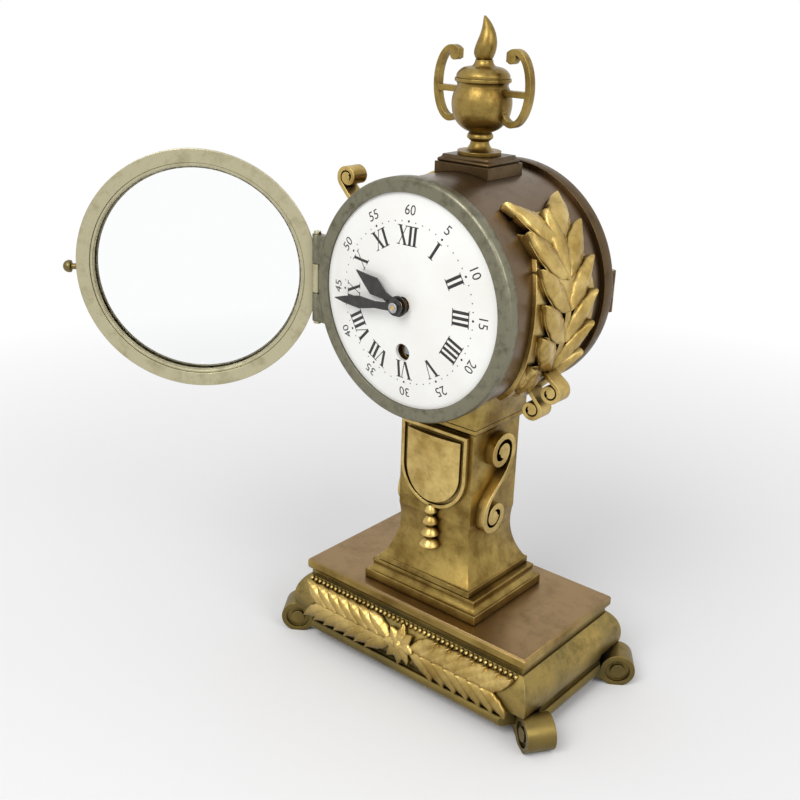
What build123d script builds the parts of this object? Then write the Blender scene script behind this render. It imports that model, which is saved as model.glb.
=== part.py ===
from build123d import *
from math import acos, atan2, cos, degrees, hypot, pi, radians, sin, sqrt
import os

# A gilt brass mantel clock: a drum on a pedestal over a footed base, an urn on top and a glazed bezel.
# Millimetres. X to the right, dial facing -Y, Z up, origin on the table under the middle of the base.

# Base and feet
plate_length = 127.0
plate_depth = 71.0
plate_thickness = 5.5
plate_edge = 1.4
frame_overhang = 5.5
frame_height = 28.5
frame_wall = 11.0
frame_torus = 4.6
frame_neck_inset = 7.2
frieze_rise = 5.6
frieze_height = 20.0
frieze_bulge = 3.4
frieze_foot_inset = 2.6
frieze_head_inset = 6.4
frieze_length = 124.0
frieze_relief = 1.8
ground_clearance = 6.5
foot_radius = 8.0
foot_width = 13.0
foot_angle = 35.0
foot_outside = 7.0
foot_inside = 1.5
foot_flat = 0.5
foot_tail = 20.0
foot_screw_inset = 14.0
foot_screw_bite = 9.0
foot_sole = 2.8
corner_block = 12.0
leaf_length = 18.0
leaf_width = 8.6
leaf_count = 7
leaf_lean = 24.0
leaf_start = 4.0

# Pedestal
pedestal_y = -3.0
plinth_width = 64.0
plinth_depth = 52.0
plinth_height = 10.0
plinth_step = 2.5
column_width = 40.0
column_depth = 34.0
column_flare = 6.0
column_flare_height = 30.0
column_straight = 47.4
panel_width = 29.0
panel_thickness = 2.2
panel_crown = 1.4
panel_back = 0.7
panel_gutter = 1.8
panel_rim = 1.5
panel_top_gap = 4.5
panel_bottom_gap = 5.0
drop_length = 22.0
drop_radius = 4.2
side_scroll_thickness = 4.5
side_scroll_radius = 8.5
side_scroll_strip = 2.6
cradle_throat = 7.0
cradle_width = 50.0
cradle_depth = 38.0

# Drum case
drum_border = 4.5
drum_wall = 2.5
drum_front = -38.0
drum_length = 62.0
front_ring_overhang = 1.5
front_ring_depth = 5.3
rear_ring_overhang = 2.0
rear_ring_depth = 7.6
ring_spigot = 4.0
ring_edge = 1.5
door_land = 5.0
flank_thickness = 2.0
flank_relief = 1.5
flank_width = 52.0
flank_rib = 4.0
flank_leaf_length = 26.0
flank_leaf_width = 10.5
flank_leaf_pairs = 6
flank_leaf_lean = 44.0
flank_top_angle = 47.0
flank_curl_radius = 4.8
flank_curl_strip = 1.7
flank_curl_lift = 5.5
flank_curl_sink = 1.2
flank_curl_width = 8.0
flank_curl_angle_high = -35.0
flank_curl_angle_low = -47.0
flank_crest_angle = 47.0
flank_strap_angle = 12.0
flank_crest_setback = 6.0

# Dial, hands and glass
dial_sight_radius = 44.0
dial_lip = 1.2
dial_cover = 0.7
dial_rise = 4.0
dial_thickness = 1.6
dial_plate_thickness = 1.2
hand_thickness = 0.8
minute_hand_length = 36.0
hour_hand_length = 26.5
hour_hand_angle = 292.0
minute_hand_angle = 264.0
hour_hand_boss = 4.2
hour_hand_stem = 1.9
hour_hand_blade = 3.9
minute_hand_boss = 3.4
minute_hand_stem = 1.7
minute_hand_blade = 2.6
bezel_width = 8.4
bezel_depth = 6.4
bezel_rebate = 2.6
bezel_lip = 1.2
glass_thickness = 1.5
glass_rise = 8.0
bezel_open_angle = 141.0
hinge_offset = 2.9
bezel_knuckle_radius = 2.2
bezel_hinge_length = 38.0
bezel_knob_radius = 2.6
bezel_knob_length = 6.5

# Back door
door_lap = 2.5
door_thickness = 1.2
door_rim = 2.2
door_hinge_reach = 4.0
door_hinge_lift = 2.0
door_knuckle_radius = 1.8
door_hinge_length = 18.0

# Urn
socle_width = 27.0
socle_depth = 24.0
socle_height = 6.1
urn_foot_radius = 9.0
urn_neck_radius = 3.8
urn_stem_height = 9.0
urn_bowl_radius = 12.0
urn_bowl_height = 21.0
urn_lid_height = 7.0
flame_height = 16.5
handle_half_width = 8.4
handle_half_height = 15.0
handle_level = 27.0
handle_strut_level = 25.0
handle_strip = 2.4
handle_thickness = 3.4
handle_reach = 15.4

# Fasteners and pins
tie_rod_radius = 2.0
stud_radius = 1.5
nut_across = 7.0
nut_height = 3.6
case_bolt_radius = 1.5
case_bolt_inset = 2.0
screw_radius = 1.5
screw_head_radius = 2.7
screw_head_height = 1.8
hinge_pin_radius = 1.0

# Movement
motion_gap = 6.3
movement_margin = 4.5
movement_plate_thickness = 2.0
plate_spacing = 30.0
pillar_radius = 2.5
pillar_inset = 5.0
pillar_angle = 30.0
dial_foot_inset = 8.0
dial_foot_radius = 1.5
pivot_radius = 0.5
great_wheel_teeth = 84
centre_pinion_leaves = 12
winding_offset = 20.0
centre_wheel_teeth = 80
third_pinion_leaves = 10
third_module = 0.30
third_bearing = 45.0
third_wheel_teeth = 75
fourth_pinion_leaves = 10
fourth_module = 0.28
fourth_bearing = 143.5
fourth_wheel_teeth = 80
escape_pinion_leaves = 8
escape_module = 0.25
escape_bearing = 150.0
cannon_leaves = 12
minute_wheel_teeth = 36
minute_pinion_leaves = 10
hour_wheel_teeth = 40
motion_module = 0.50
motion_bearing = 135.0
escape_wheel_radius = 3.2
escape_teeth = 15
lever_distance = 3.9
balance_distance = 4.6
balance_line = -20.0
balance_radius = 7.5
balance_rim = 1.2
platform_width = 12.0
bridge_width = 3.2
cock_width = 4.2
ratchet_radius = 7.5
ratchet_teeth = 20
winding_square = 3.6
barrel_radius = 15.8
barrel_length = 15.0
barrel_wall = 1.0

# Clearances
running_clearance = 0.05
free_clearance = 0.3
hole_clearance = 0.1
end_shake = 0.2

# Heights and planes that follow from the sizes above
frame_bottom = ground_clearance
frame_top = frame_bottom + frame_height
plate_top = frame_top + plate_thickness
plinth_top = plate_top + plinth_height
column_top = plinth_top + column_flare_height + column_straight
drum_radius = dial_sight_radius + drum_border
drum_bore = drum_radius - drum_wall
drum_axis_height = column_top + cradle_throat + drum_radius
drum_back = drum_front + drum_length
front_ring_radius = drum_radius + front_ring_overhang
rear_ring_radius = drum_radius + rear_ring_overhang
bezel_radius = dial_sight_radius + bezel_width
door_opening_radius = drum_bore - door_land
door_radius = door_opening_radius + door_lap
door_hinge_x = door_radius + door_hinge_reach
case_bolt_circle = drum_bore - case_bolt_inset
movement_plate_radius = case_bolt_circle - case_bolt_radius - movement_margin
pillar_circle = movement_plate_radius - pillar_inset
dial_foot_circle = movement_plate_radius - dial_foot_inset
ring_front = drum_front - front_ring_depth
rear_face = drum_back + rear_ring_depth
bezel_hinge_x = -front_ring_radius - bezel_knuckle_radius - free_clearance
bezel_hinge_y = ring_front + hinge_offset
dial_radius = dial_sight_radius + dial_cover
dial_rim = ring_front + dial_lip
dial_plate_front = dial_rim + dial_thickness
dial_plate_back = dial_plate_front + dial_plate_thickness
front_plate_front = dial_plate_back + motion_gap
front_plate_back = front_plate_front + movement_plate_thickness
back_plate_front = front_plate_back + plate_spacing
back_plate_back = back_plate_front + movement_plate_thickness
foot_x = plate_length / 2 + foot_outside
foot_y = plate_depth / 2 - foot_inside
foot_roll_top = 2 * foot_radius - foot_flat + free_clearance
corners = {"front_left": (-1, -1), "front_right": (1, -1), "rear_left": (-1, 1), "rear_right": (1, 1)}


# Shape helpers

def outline(*steps):
    """Closed face through (across, along, bow) steps; bow arches the edge that leads to its step."""
    edges = []
    previous = steps[-1]
    for step in steps:
        bow = step[2] if len(step) == 3 else 0
        start = previous[:2]
        end = step[:2]
        edges.append(SagittaArc(start, end, bow) if bow else Line(start, end))
        previous = step
    return make_face(edges)


def moulded_face(half, side):
    """Symmetric face from (inset, height, bow) steps that go up its right side."""
    right = [(half - inset, height, bow) for inset, height, bow in side]
    bows = [0] + [bow for _, _, bow in reversed(side[1:])]
    left = [(inset - half, height, bow) for (inset, height, _), bow in zip(reversed(side), bows)]
    return outline(*right, *left)


def moulded_block(length, depth, side, y=0.0):
    """Block with one moulding, mitred at the corners, on its four sides."""
    lengthwise = extrude(Plane.XZ * moulded_face(length / 2, side), amount=depth, both=True)
    depthwise = extrude(Plane.YZ * moulded_face(depth / 2, side), amount=length, both=True)
    return Pos(0, y, 0) * (lengthwise & depthwise)


def slab(sketch, front, back):
    """A sketch in (x, z) made solid between two Y planes."""
    return extrude(Plane.XZ.offset(-back) * sketch, amount=back - front)


def rod(x, z, radius, front, back):
    """Round bar along Y."""
    return slab(Pos(x, z) * Circle(radius), front, back)


def upright(x, y, radius, bottom, top):
    """Round bar along Z."""
    return extrude(Pos(x, y, bottom) * Circle(radius), amount=top - bottom)


def block(low, high):
    """Box between two corners."""
    size = [b - a for a, b in zip(low, high)]
    middle = [(a + b) / 2 for a, b in zip(low, high)]
    return Pos(*middle) * Box(*size)


def turned_y(*steps):
    """Body turned about Y from (radius, y, bow) steps."""
    return revolve(outline(*steps), Axis.Y)


def turned_z(*steps):
    """Body turned about Z from (radius, z, bow) steps."""
    return revolve(Plane.XZ * outline(*steps), Axis.Z)


def dome_bow(radius, rise):
    """Bow of the half arc of a spherical dome."""
    sphere = (radius ** 2 + rise ** 2) / (2 * rise)
    return sphere - sqrt(sphere ** 2 - (radius ** 2 + rise ** 2) / 4)


def polar(radius, angle):
    """Point at an angle in degrees from +x."""
    return (radius * cos(radians(angle)), radius * sin(radians(angle)))


def shifted(point, radius, angle):
    """Point moved by a radius at an angle."""
    step = polar(radius, angle)
    return (point[0] + step[0], point[1] + step[1])


def lifted(shape):
    """Piece made about the drum's axis, raised to its height."""
    return Pos(0, 0, drum_axis_height) * shape


def spiral_strip(inner_radius, turn_pitch, strip, half_turns):
    """Flat strip wound outwards in half circles from (inner_radius, 0)."""
    step = turn_pitch / 2
    inner_edges = []
    outer_edges = []
    for index in range(half_turns):
        middle = (step if index % 2 else 0.0, 0.0)
        start = 180 if index % 2 else 0
        radius = inner_radius + index * step
        inner_edges.append(CenterArc(middle, radius, start, 180))
        outer_edges.append(CenterArc(middle, radius + strip, start, 180))
    first = Line(inner_edges[0] @ 0, outer_edges[0] @ 0)
    last = Line(inner_edges[-1] @ 1, outer_edges[-1] @ 1)
    return make_face([first, *inner_edges, last, *outer_edges])


def scroll(radius, strip, tail=0.0):
    """Volute of one and a half turns with a round eye, its outer end running down from (-radius, 0)."""
    start = radius * 0.16
    shape = spiral_strip(start, radius - strip - start, strip, 3) + Circle(start + strip * 0.6)
    if tail:
        shape += Pos(strip / 2 - radius, -tail / 2) * Rectangle(strip, tail)
    return shape


def toothed(teeth, module, phase=0.0):
    """Gear outline with tapered teeth; phase is the angle of one tooth in radians."""
    pitch = 2 * pi / teeth
    root = module * (teeth / 2 - 1.05)
    tip = module * (teeth / 2 + 0.75)
    points = []
    for index in range(teeth):
        middle = phase + index * pitch
        for radius, share in ((root, -0.27), (tip, -0.09), (tip, 0.09), (root, 0.27)):
            angle = middle + share * pitch
            points.append((radius * cos(angle), radius * sin(angle)))
    return make_face(Polyline(*points, close=True))


def meshing_phase(centre, teeth, phase, other_centre, other_teeth):
    """Phase that sets a gear's gap against the other gear's tooth on the line of centres."""
    bearing = atan2(other_centre[1] - centre[1], other_centre[0] - centre[0])
    share = (bearing - phase) / (2 * pi / teeth)
    return bearing + pi + (share + 0.5) * 2 * pi / other_teeth


# Base and feet

def at_foot(shape, side_x, side_y):
    """Place a shape made with +X outwards at a corner's foot."""
    turn = degrees(atan2(side_y * sin(radians(foot_angle)), side_x * cos(radians(foot_angle))))
    return Pos(side_x * foot_x, side_y * foot_y, 0) * Rot(0, 0, turn) * shape


def foot():
    """Volute foot whose tail runs in under the frame's corner."""
    centre_height = foot_radius - foot_flat
    roll = Pos(0, centre_height) * Circle(foot_radius)
    tail = outline(
        (-foot_tail, frame_bottom), (-foot_tail, frame_bottom - 3), (-foot_radius * 0.4, 1, 1.2),
        (0, centre_height), (0, frame_bottom),
    )
    body = extrude(Plane.XZ * (roll + tail), amount=foot_width / 2, both=True)
    body -= block((-foot_tail, -foot_width, -foot_radius), (foot_radius, foot_width, 0))
    hollow = Circle(foot_radius * 0.72) - Circle(foot_radius * 0.4)
    for side in (-1, 1):
        plane = Plane.XZ.offset(side * (foot_width / 2 - 1.4))
        body -= extrude(plane * (Pos(0, centre_height) * hollow), amount=side * 2)
    seat = frame_bottom - foot_sole
    body -= upright(-foot_screw_inset, 0, screw_head_radius + free_clearance, 0, seat)
    body -= upright(-foot_screw_inset, 0, screw_radius, 0, frame_bottom)
    return body


def foot_screw():
    """Round headed screw up through a foot into the frame's corner block."""
    seat = frame_bottom - foot_sole
    head = upright(-foot_screw_inset, 0, screw_head_radius, seat - screw_head_height, seat)
    return head + upright(-foot_screw_inset, 0, screw_radius, seat, frame_bottom + foot_screw_bite)


def frame_side():
    """Moulding of the base frame: torus, fillet, bulging frieze and a recess under the plate."""
    torus_top = frame_bottom + frame_torus
    frieze_bottom = frame_bottom + frieze_rise
    frieze_top = frieze_bottom + frieze_height
    return [
        (1.2, frame_bottom, 0), (1.2, torus_top, -1.2), (frieze_foot_inset, torus_top, 0),
        (frieze_foot_inset, frieze_bottom, 0), (frieze_head_inset, frieze_top, -frieze_bulge),
        (frame_neck_inset, frieze_top, 0), (frame_neck_inset, frame_top, 0),
    ]


def frame_length():
    return plate_length + 2 * frame_overhang


def frame_depth():
    return plate_depth + 2 * frame_overhang


def corner_cut(side_x, side_y, top, inward=0.0):
    """Block outside a canted corner, up to top; inward moves its face towards the middle of the base."""
    face = -(foot_radius + free_clearance + inward)
    reach = frame_overhang + foot_radius * 4
    return at_foot(block((face, -reach, 0), (reach, reach, top)), side_x, side_y)


def base_frame():
    """Hollow moulded frame whose lower corners are canted to clear the rolls of the feet."""
    body = moulded_block(frame_length(), frame_depth(), frame_side())
    half_x = frame_length() / 2 - frame_wall
    half_y = frame_depth() / 2 - frame_wall
    cavity = block((-half_x, -half_y, frame_bottom), (half_x, half_y, frame_top))
    hole = upright(-foot_screw_inset, 0, screw_radius, frame_bottom, frame_bottom + foot_screw_bite)
    for side_x, side_y in corners.values():
        cavity -= corner_cut(side_x, side_y, plate_top, corner_block)
        body -= corner_cut(side_x, side_y, foot_roll_top)
        body -= at_foot(hole, side_x, side_y)
    return body - cavity


def base_plate():
    """Polished top plate with rounded edges."""
    side = [
        (plate_edge, frame_top, 0), (0, frame_top + plate_edge, -0.35),
        (0, plate_top - plate_edge, 0), (plate_edge, plate_top, -0.35),
    ]
    hole = upright(0, pedestal_y, tie_rod_radius + hole_clearance, frame_top, plate_top)
    return moulded_block(plate_length, plate_depth, side) - hole


def leaf(length, width):
    """Pointed leaf outline along +x from the origin."""
    bow = width / 2
    return make_face([SagittaArc((0, 0), (length, 0), bow), SagittaArc((length, 0), (0, 0), bow)])


def base_front_frieze(frame):
    """Applied band of laurel leaves on the bulging front of the frame."""
    front = -frame_depth() / 2
    middle = frame_bottom + frieze_rise + frieze_height / 2
    spacing = (frieze_length / 2 - leaf_length) / leaf_count
    row = Pos(0, middle) * Circle(frieze_height * 0.42)
    for index in range(leaf_count):
        for lean in (-leaf_lean, leaf_lean):
            spot = Pos(leaf_start + index * spacing, middle) * Rot(0, 0, lean) * leaf(leaf_length, leaf_width)
            row += spot
            row += mirror(spot, Plane.YZ)
    half = frieze_length / 2
    row += Pos(0, middle) * Rectangle(2 * half, 2.0)
    mould = extrude(
        Plane.YZ * moulded_face(frame_depth() / 2 + frieze_relief, frame_side()), amount=half, both=True
    )
    band = (slab(row, front - frieze_relief, front + frame_wall) & mould) - frame
    for side_x in (-1, 1):
        band -= corner_cut(side_x, -1, foot_roll_top)
    return band


# Pedestal

def column_plinth():
    """Stepped block under the column."""
    side = [
        (0, plate_top, 0), (0, plate_top + plinth_height * 0.45, 0), (1, plate_top + plinth_height * 0.45, 0),
        (plinth_step, plinth_top - 1.5, 0.8), (plinth_step, plinth_top, 0),
    ]
    hole = upright(0, pedestal_y, tie_rod_radius + hole_clearance, plate_top, plinth_top)
    return moulded_block(plinth_width, plinth_depth, side, pedestal_y) - hole


def column():
    """Pedestal shaft, flared at its foot and stepped out at its neck."""
    flare_top = plinth_top + column_flare_height
    side = [
        (0, plinth_top, 0), (0, plinth_top + 3, 0), (0.8, plinth_top + 3, 0), (column_flare, flare_top, 2.6),
        (column_flare, column_top - 4, 0), (column_flare - 2, column_top - 2, 0.5),
        (column_flare - 2, column_top, 0),
    ]
    hole = upright(0, pedestal_y, tie_rod_radius + hole_clearance, plinth_top, column_top)
    length = column_width + 2 * column_flare
    depth = column_depth + 2 * column_flare
    return moulded_block(length, depth, side, pedestal_y) - hole


def shield(top, bottom, grow=0.0):
    """Tablet outline with a round bottom, grown evenly on all sides."""
    half = panel_width / 2
    height = top - bottom - half + grow
    shape = Pos(0, (top + bottom + half + grow) / 2) * Rectangle(panel_width + 2 * grow, height)
    return shape + Pos(0, bottom + half) * Circle(half + grow)


def column_front_panel(shaft):
    """Crowned tablet in a raised rim, and a husk drop below it on the flare."""
    face = pedestal_y - column_depth / 2
    half = panel_width / 2
    border = panel_gutter + panel_rim
    top = column_top - panel_top_gap - border
    bottom = plinth_top + column_flare_height + panel_bottom_gap + border
    tablet = slab(shield(top, bottom), face - panel_thickness - panel_crown, face)
    crown = (half ** 2 + panel_crown ** 2) / (2 * panel_crown)
    tablet &= upright(0, face - panel_thickness - panel_crown + crown, crown, bottom - 1, top + 1)
    rim = shield(top, bottom, border) - shield(top, bottom, panel_gutter)
    tablet += slab(shield(top, bottom, border), face - panel_back, face)
    tablet += slab(rim, face - panel_thickness, face)
    drop_top = bottom - border + 1
    husk = drop_length / 4
    steps = [(0, drop_top)]
    for index in range(4):
        level = drop_top - index * husk
        reach = drop_radius * (0.7 + 0.15 * index)
        steps.append((reach * 0.45, level))
        steps.append((reach, level - husk * 0.6, 0.3))
        steps.append((reach * 0.4, level - husk, -0.2))
    steps.append((0, drop_top - drop_length))
    drop = Pos(0, face - drop_radius * 0.4, 0) * turned_z(*steps)
    return (tablet + drop) - shaft


def column_side_mount(shaft):
    """Applied S scroll on the column's right side, with its larger volute above."""
    face = column_width / 2
    upper = (pedestal_y, column_top - 6 - side_scroll_radius)
    lower_radius = side_scroll_radius * 0.9
    lower = (pedestal_y - 5, plinth_top + column_flare_height + lower_radius * 0.4)
    high = Pos(*upper) * mirror(scroll(side_scroll_radius, side_scroll_strip), Plane.YZ)
    low = Pos(*lower) * mirror(scroll(lower_radius, side_scroll_strip), Plane.XZ)
    start = upper[0] + side_scroll_radius
    end = lower[0] - lower_radius
    middle = (upper[1] + lower[1]) / 2
    start_inside = start - side_scroll_strip
    end_outside = end + side_scroll_strip
    inner = Bezier((start_inside, upper[1]), (start_inside, middle), (end, middle), (end, lower[1]))
    outer = Bezier((start, upper[1]), (start, middle), (end_outside, middle), (end_outside, lower[1]))
    stem = make_face([inner, Line(inner @ 1, outer @ 1), outer, Line(inner @ 0, outer @ 0)])
    mount = extrude(Plane.YZ.offset(face) * (high + low + stem), amount=side_scroll_thickness)
    return mount - shaft


def drum_cradle():
    """Saddle between the column's neck and the drum."""
    half = cradle_width / 2
    neck = column_width / 2 + 2
    rise = cradle_throat + 10
    face = outline(
        (neck, column_top), (half, column_top + rise, 1.5), (-half, column_top + rise), (-neck, column_top, 1.5),
    )
    body = slab(face, pedestal_y - cradle_depth / 2, pedestal_y + cradle_depth / 2)
    body -= lifted(rod(0, 0, drum_radius, drum_front, drum_back))
    return body - upright(0, pedestal_y, tie_rod_radius + hole_clearance, column_top, drum_axis_height)


def nut_seat(y, direction):
    """Height at which a nut's corners meet the drum's inner wall at its top or bottom."""
    return drum_axis_height + direction * sqrt(drum_bore ** 2 - (nut_across / sqrt(3)) ** 2)


def tie_rod():
    """Threaded rod that clamps base, pedestal and drum together."""
    low = frame_top - nut_height - 1
    return upright(0, pedestal_y, tie_rod_radius, low, nut_seat(pedestal_y, -1) + nut_height + 0.6)


def hex_nut(y, bottom, bore):
    """Hexagon nut about an upright stud."""
    ring = RegularPolygon(nut_across / sqrt(3), 6) - Circle(bore)
    return extrude(Pos(0, y, bottom) * ring, amount=nut_height)


def case_nuts():
    """Nuts at both ends of the tie rod and under the urn's stud."""
    lower = hex_nut(pedestal_y, frame_top - nut_height, tie_rod_radius)
    upper = hex_nut(pedestal_y, nut_seat(pedestal_y, -1), tie_rod_radius)
    urn = hex_nut(0, nut_seat(0, 1) - nut_height, stud_radius)
    return Compound(children=[lower, upper, urn])


# Drum case

def drum_shell():
    """Plain tube with holes for the tie rod and the urn's stud."""
    tube = turned_y(
        (drum_bore, drum_front), (drum_radius, drum_front), (drum_radius, drum_back), (drum_bore, drum_back)
    )
    tube -= upright(0, pedestal_y, tie_rod_radius + hole_clearance, -drum_radius - 1, 0)
    return lifted(tube - upright(0, 0, stud_radius + hole_clearance, 0, drum_radius + 1))


def knuckles(x, y, radius, length, web_x, web_y, bore, middle):
    """Middle knuckle, or the outer pair, of a three part hinge with its web."""
    share = length / 3
    gap = free_clearance / 2
    spans = [(-share / 2 + gap, share / 2 - gap)]
    if not middle:
        spans = [(-length / 2, -share / 2 - gap), (share / 2 + gap, length / 2)]
    made = Part()
    for low, high in spans:
        made += upright(x, y, radius, low, high)
        made += block((web_x[0], web_y[0], low), (web_x[1], web_y[1], high))
        made -= upright(x, y, bore, low, high)
    return made


def front_ring():
    """Ring that carries the dial in a lip, the bezel's hinge and the case bolts' lugs."""
    bore = dial_radius + hole_clearance
    spigot = drum_bore - running_clearance
    spigot_end = drum_front + ring_spigot
    ring = turned_y(
        (dial_sight_radius, ring_front), (dial_sight_radius, dial_rim), (bore, dial_rim), (bore, spigot_end),
        (spigot, spigot_end), (spigot, drum_front), (front_ring_radius, drum_front),
        (front_ring_radius, ring_front + ring_edge), (front_ring_radius - ring_edge, ring_front, 0.4),
    )
    lug_inner = case_bolt_circle - 2 * case_bolt_radius
    for side in (-1, 1):
        low_x, high_x = sorted((side * lug_inner, side * (spigot - 0.6)))
        ring += block((low_x, drum_front - 0.5, -4), (high_x, spigot_end, 4))
        ring -= rod(side * case_bolt_circle, 0, case_bolt_radius, drum_front - 1, spigot_end)
    ring += knuckles(
        bezel_hinge_x, bezel_hinge_y, bezel_knuckle_radius, bezel_hinge_length, (bezel_hinge_x, -bore - 0.4),
        (bezel_hinge_y - 1.8, bezel_hinge_y + 1.8), hinge_pin_radius, middle=False,
    )
    return lifted(ring)


def rear_ring():
    """Ring that closes the back of the drum round the door's opening."""
    spigot = drum_bore - running_clearance
    ring = turned_y(
        (door_opening_radius, drum_back - ring_spigot), (spigot, drum_back - ring_spigot), (spigot, drum_back),
        (rear_ring_radius, drum_back), (rear_ring_radius, rear_face - ring_edge),
        (rear_ring_radius - ring_edge, rear_face, -0.4), (door_opening_radius, rear_face),
    )
    for side in (-1, 1):
        x = side * case_bolt_circle
        ring -= rod(x, 0, case_bolt_radius + hole_clearance, drum_back - ring_spigot, rear_face)
        ring -= rod(x, 0, screw_head_radius + hole_clearance, rear_face - screw_head_height, rear_face)
    ring += knuckles(
        door_hinge_x, rear_face + door_hinge_lift, door_knuckle_radius, door_hinge_length,
        (door_hinge_x - 1.2, door_hinge_x + 1.2), (rear_face, rear_face + door_hinge_lift),
        hinge_pin_radius, middle=False,
    )
    return lifted(ring)


def case_bolts():
    """Two long bolts that draw the rear ring and the front ring together on the drum."""
    bolts = []
    for side in (-1, 1):
        x = side * case_bolt_circle
        head = rod(x, 0, screw_head_radius, rear_face - screw_head_height, rear_face)
        bolts.append(lifted(head + rod(x, 0, case_bolt_radius, drum_front - 0.5, rear_face - screw_head_height)))
    return Compound(children=bolts)


def ring_sector(inner, outer, start, end):
    """Part of a flat ring between two angles."""
    return make_face([
        Line(polar(inner, start), polar(outer, start)), CenterArc((0, 0), outer, start, end - start),
        Line(polar(outer, end), polar(inner, end)), CenterArc((0, 0), inner, start, end - start),
    ])


def flank_mount(has_crest):
    """Foliate mount on the drum's right flank, with curled tips below and, if asked, one at the front above."""
    outer = drum_radius + flank_thickness
    low = -degrees(acos((cradle_width / 2 + 1) / drum_radius))
    back = drum_back - 4
    front = back - flank_width
    middle = back - flank_width / 2
    span = drum_radius * 1.02
    lens = make_face([
        SagittaArc((middle, -span), (middle, span * 0.86), flank_width * 0.42),
        SagittaArc((middle, span * 0.86), (middle, -span), flank_width * 0.42),
    ])
    band = slab(ring_sector(drum_radius, outer, low, flank_top_angle), front, back)
    band &= extrude(Plane.YZ * lens, amount=outer + 1)
    bottom = drum_radius * sin(radians(low))
    top = drum_radius * sin(radians(flank_top_angle))
    leaves = Pos(middle, (bottom + top) / 2) * Rectangle(flank_rib, top - bottom)
    for index in range(flank_leaf_pairs):
        level = bottom + (index + 0.2) * (top - bottom) / flank_leaf_pairs
        for lean in (-flank_leaf_lean, flank_leaf_lean):
            blade = Rot(0, 0, 90 + lean) * leaf(flank_leaf_length, flank_leaf_width)
            leaves += Pos(middle, level) * blade
    relief = slab(ring_sector(drum_radius, outer + flank_relief, low, flank_top_angle), front, back)
    band += relief & extrude(Plane.YZ * leaves, amount=outer + flank_relief + 1)
    curl_circle = outer + flank_curl_radius + flank_curl_lift - flank_curl_sink
    curl = scroll(flank_curl_radius, flank_curl_strip, flank_curl_radius + flank_curl_lift)
    for angle in (flank_curl_angle_high, flank_curl_angle_low):
        spot = Pos(*polar(curl_circle, angle)) * Rot(0, 0, angle - 90)
        band += slab(spot * curl, middle - flank_curl_width / 2, middle + flank_curl_width / 2)
    if has_crest:
        crest_front = drum_front + flank_crest_setback - flank_curl_width / 2
        spot = Pos(*polar(curl_circle, flank_crest_angle)) * Rot(0, 0, flank_crest_angle - 90)
        band += slab(spot * mirror(curl, Plane.YZ), crest_front, crest_front + flank_curl_width)
        strap = ring_sector(drum_radius, outer, flank_crest_angle - flank_strap_angle, flank_crest_angle)
        band += slab(strap, crest_front, middle + flank_rib)
    return lifted(band - rod(0, 0, drum_radius, drum_front, drum_back))


# Urn

def socle_top():
    return drum_axis_height + drum_radius + socle_height


def urn_socle():
    """Block that saddles the drum's top."""
    top = socle_top()
    side = [
        (0, drum_axis_height, 0), (0, top - 3, 0), (1.2, top - 3, 0), (1.2, top - 1.4, -0.5), (2.2, top, 0.3),
    ]
    body = moulded_block(socle_width, socle_depth, side)
    body -= lifted(rod(0, 0, drum_radius, drum_front, drum_back))
    return body - upright(0, 0, stud_radius + hole_clearance, drum_axis_height, top)


def urn_body(handles):
    """Turned foot, neck and bowl, with sockets for the handles."""
    base = socle_top()
    bowl = base + urn_stem_height
    lip = bowl + urn_bowl_height
    bore = stud_radius + hole_clearance
    body = turned_z(
        (bore, base), (urn_foot_radius, base), (urn_foot_radius, base + 1.6),
        (urn_neck_radius, base + urn_stem_height * 0.6, 1.6),
        (urn_neck_radius + 1.6, base + urn_stem_height * 0.75),
        (urn_neck_radius + 0.6, bowl, -0.3), (urn_bowl_radius, bowl + urn_bowl_height * 0.42, -1.8),
        (urn_bowl_radius * 0.86, lip - 3, -0.9), (urn_bowl_radius * 0.95, lip - 1.2, 0.4),
        (urn_bowl_radius * 0.95, lip), (bore, lip),
    )
    return body - handles


def urn_lid():
    """Stepped domed lid."""
    base = socle_top() + urn_stem_height + urn_bowl_height
    bore = stud_radius + hole_clearance
    return turned_z(
        (bore, base), (urn_bowl_radius * 0.9, base), (urn_bowl_radius * 0.9, base + 1.2),
        (urn_bowl_radius * 0.45, base + urn_lid_height * 0.62, -1.0),
        (urn_bowl_radius * 0.3, base + urn_lid_height, 0.5),
        (bore, base + urn_lid_height),
    )


def urn_handles():
    """Pair of tall scroll handles let into the bowl, with a strut at its shoulder and a free curl above."""
    base = socle_top()
    lip = base + urn_stem_height + urn_bowl_height
    middle = Pos(handle_reach, base + handle_level)
    inner_width = handle_half_width - handle_strip
    inside = Ellipse(inner_width, handle_half_height - handle_strip)
    loop = middle * (Ellipse(handle_half_width, handle_half_height) - inside)
    strut_end = handle_reach + inner_width + handle_strip / 2
    loop += Pos(strut_end / 2, base + handle_strut_level) * Rectangle(strut_end, handle_strip)
    beside_lid = urn_bowl_radius * 0.95 + free_clearance
    curl_radius = handle_strip * 0.9
    curl_level = handle_level + handle_half_height - handle_strip - curl_radius * 0.6
    curl_at = (beside_lid + curl_radius, base + curl_level)
    right = slab(loop, -handle_thickness / 2, handle_thickness / 2)
    right -= block((-1, -handle_thickness, base), (urn_bowl_radius * 0.8, handle_thickness, lip))
    right -= block((-1, -handle_thickness, lip - 2), (beside_lid, handle_thickness, base + 2 * handle_level))
    right += slab(Pos(*curl_at) * Circle(curl_radius), -handle_thickness / 2, handle_thickness / 2)
    return Compound(children=[right, mirror(right, Plane.YZ)])


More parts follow.
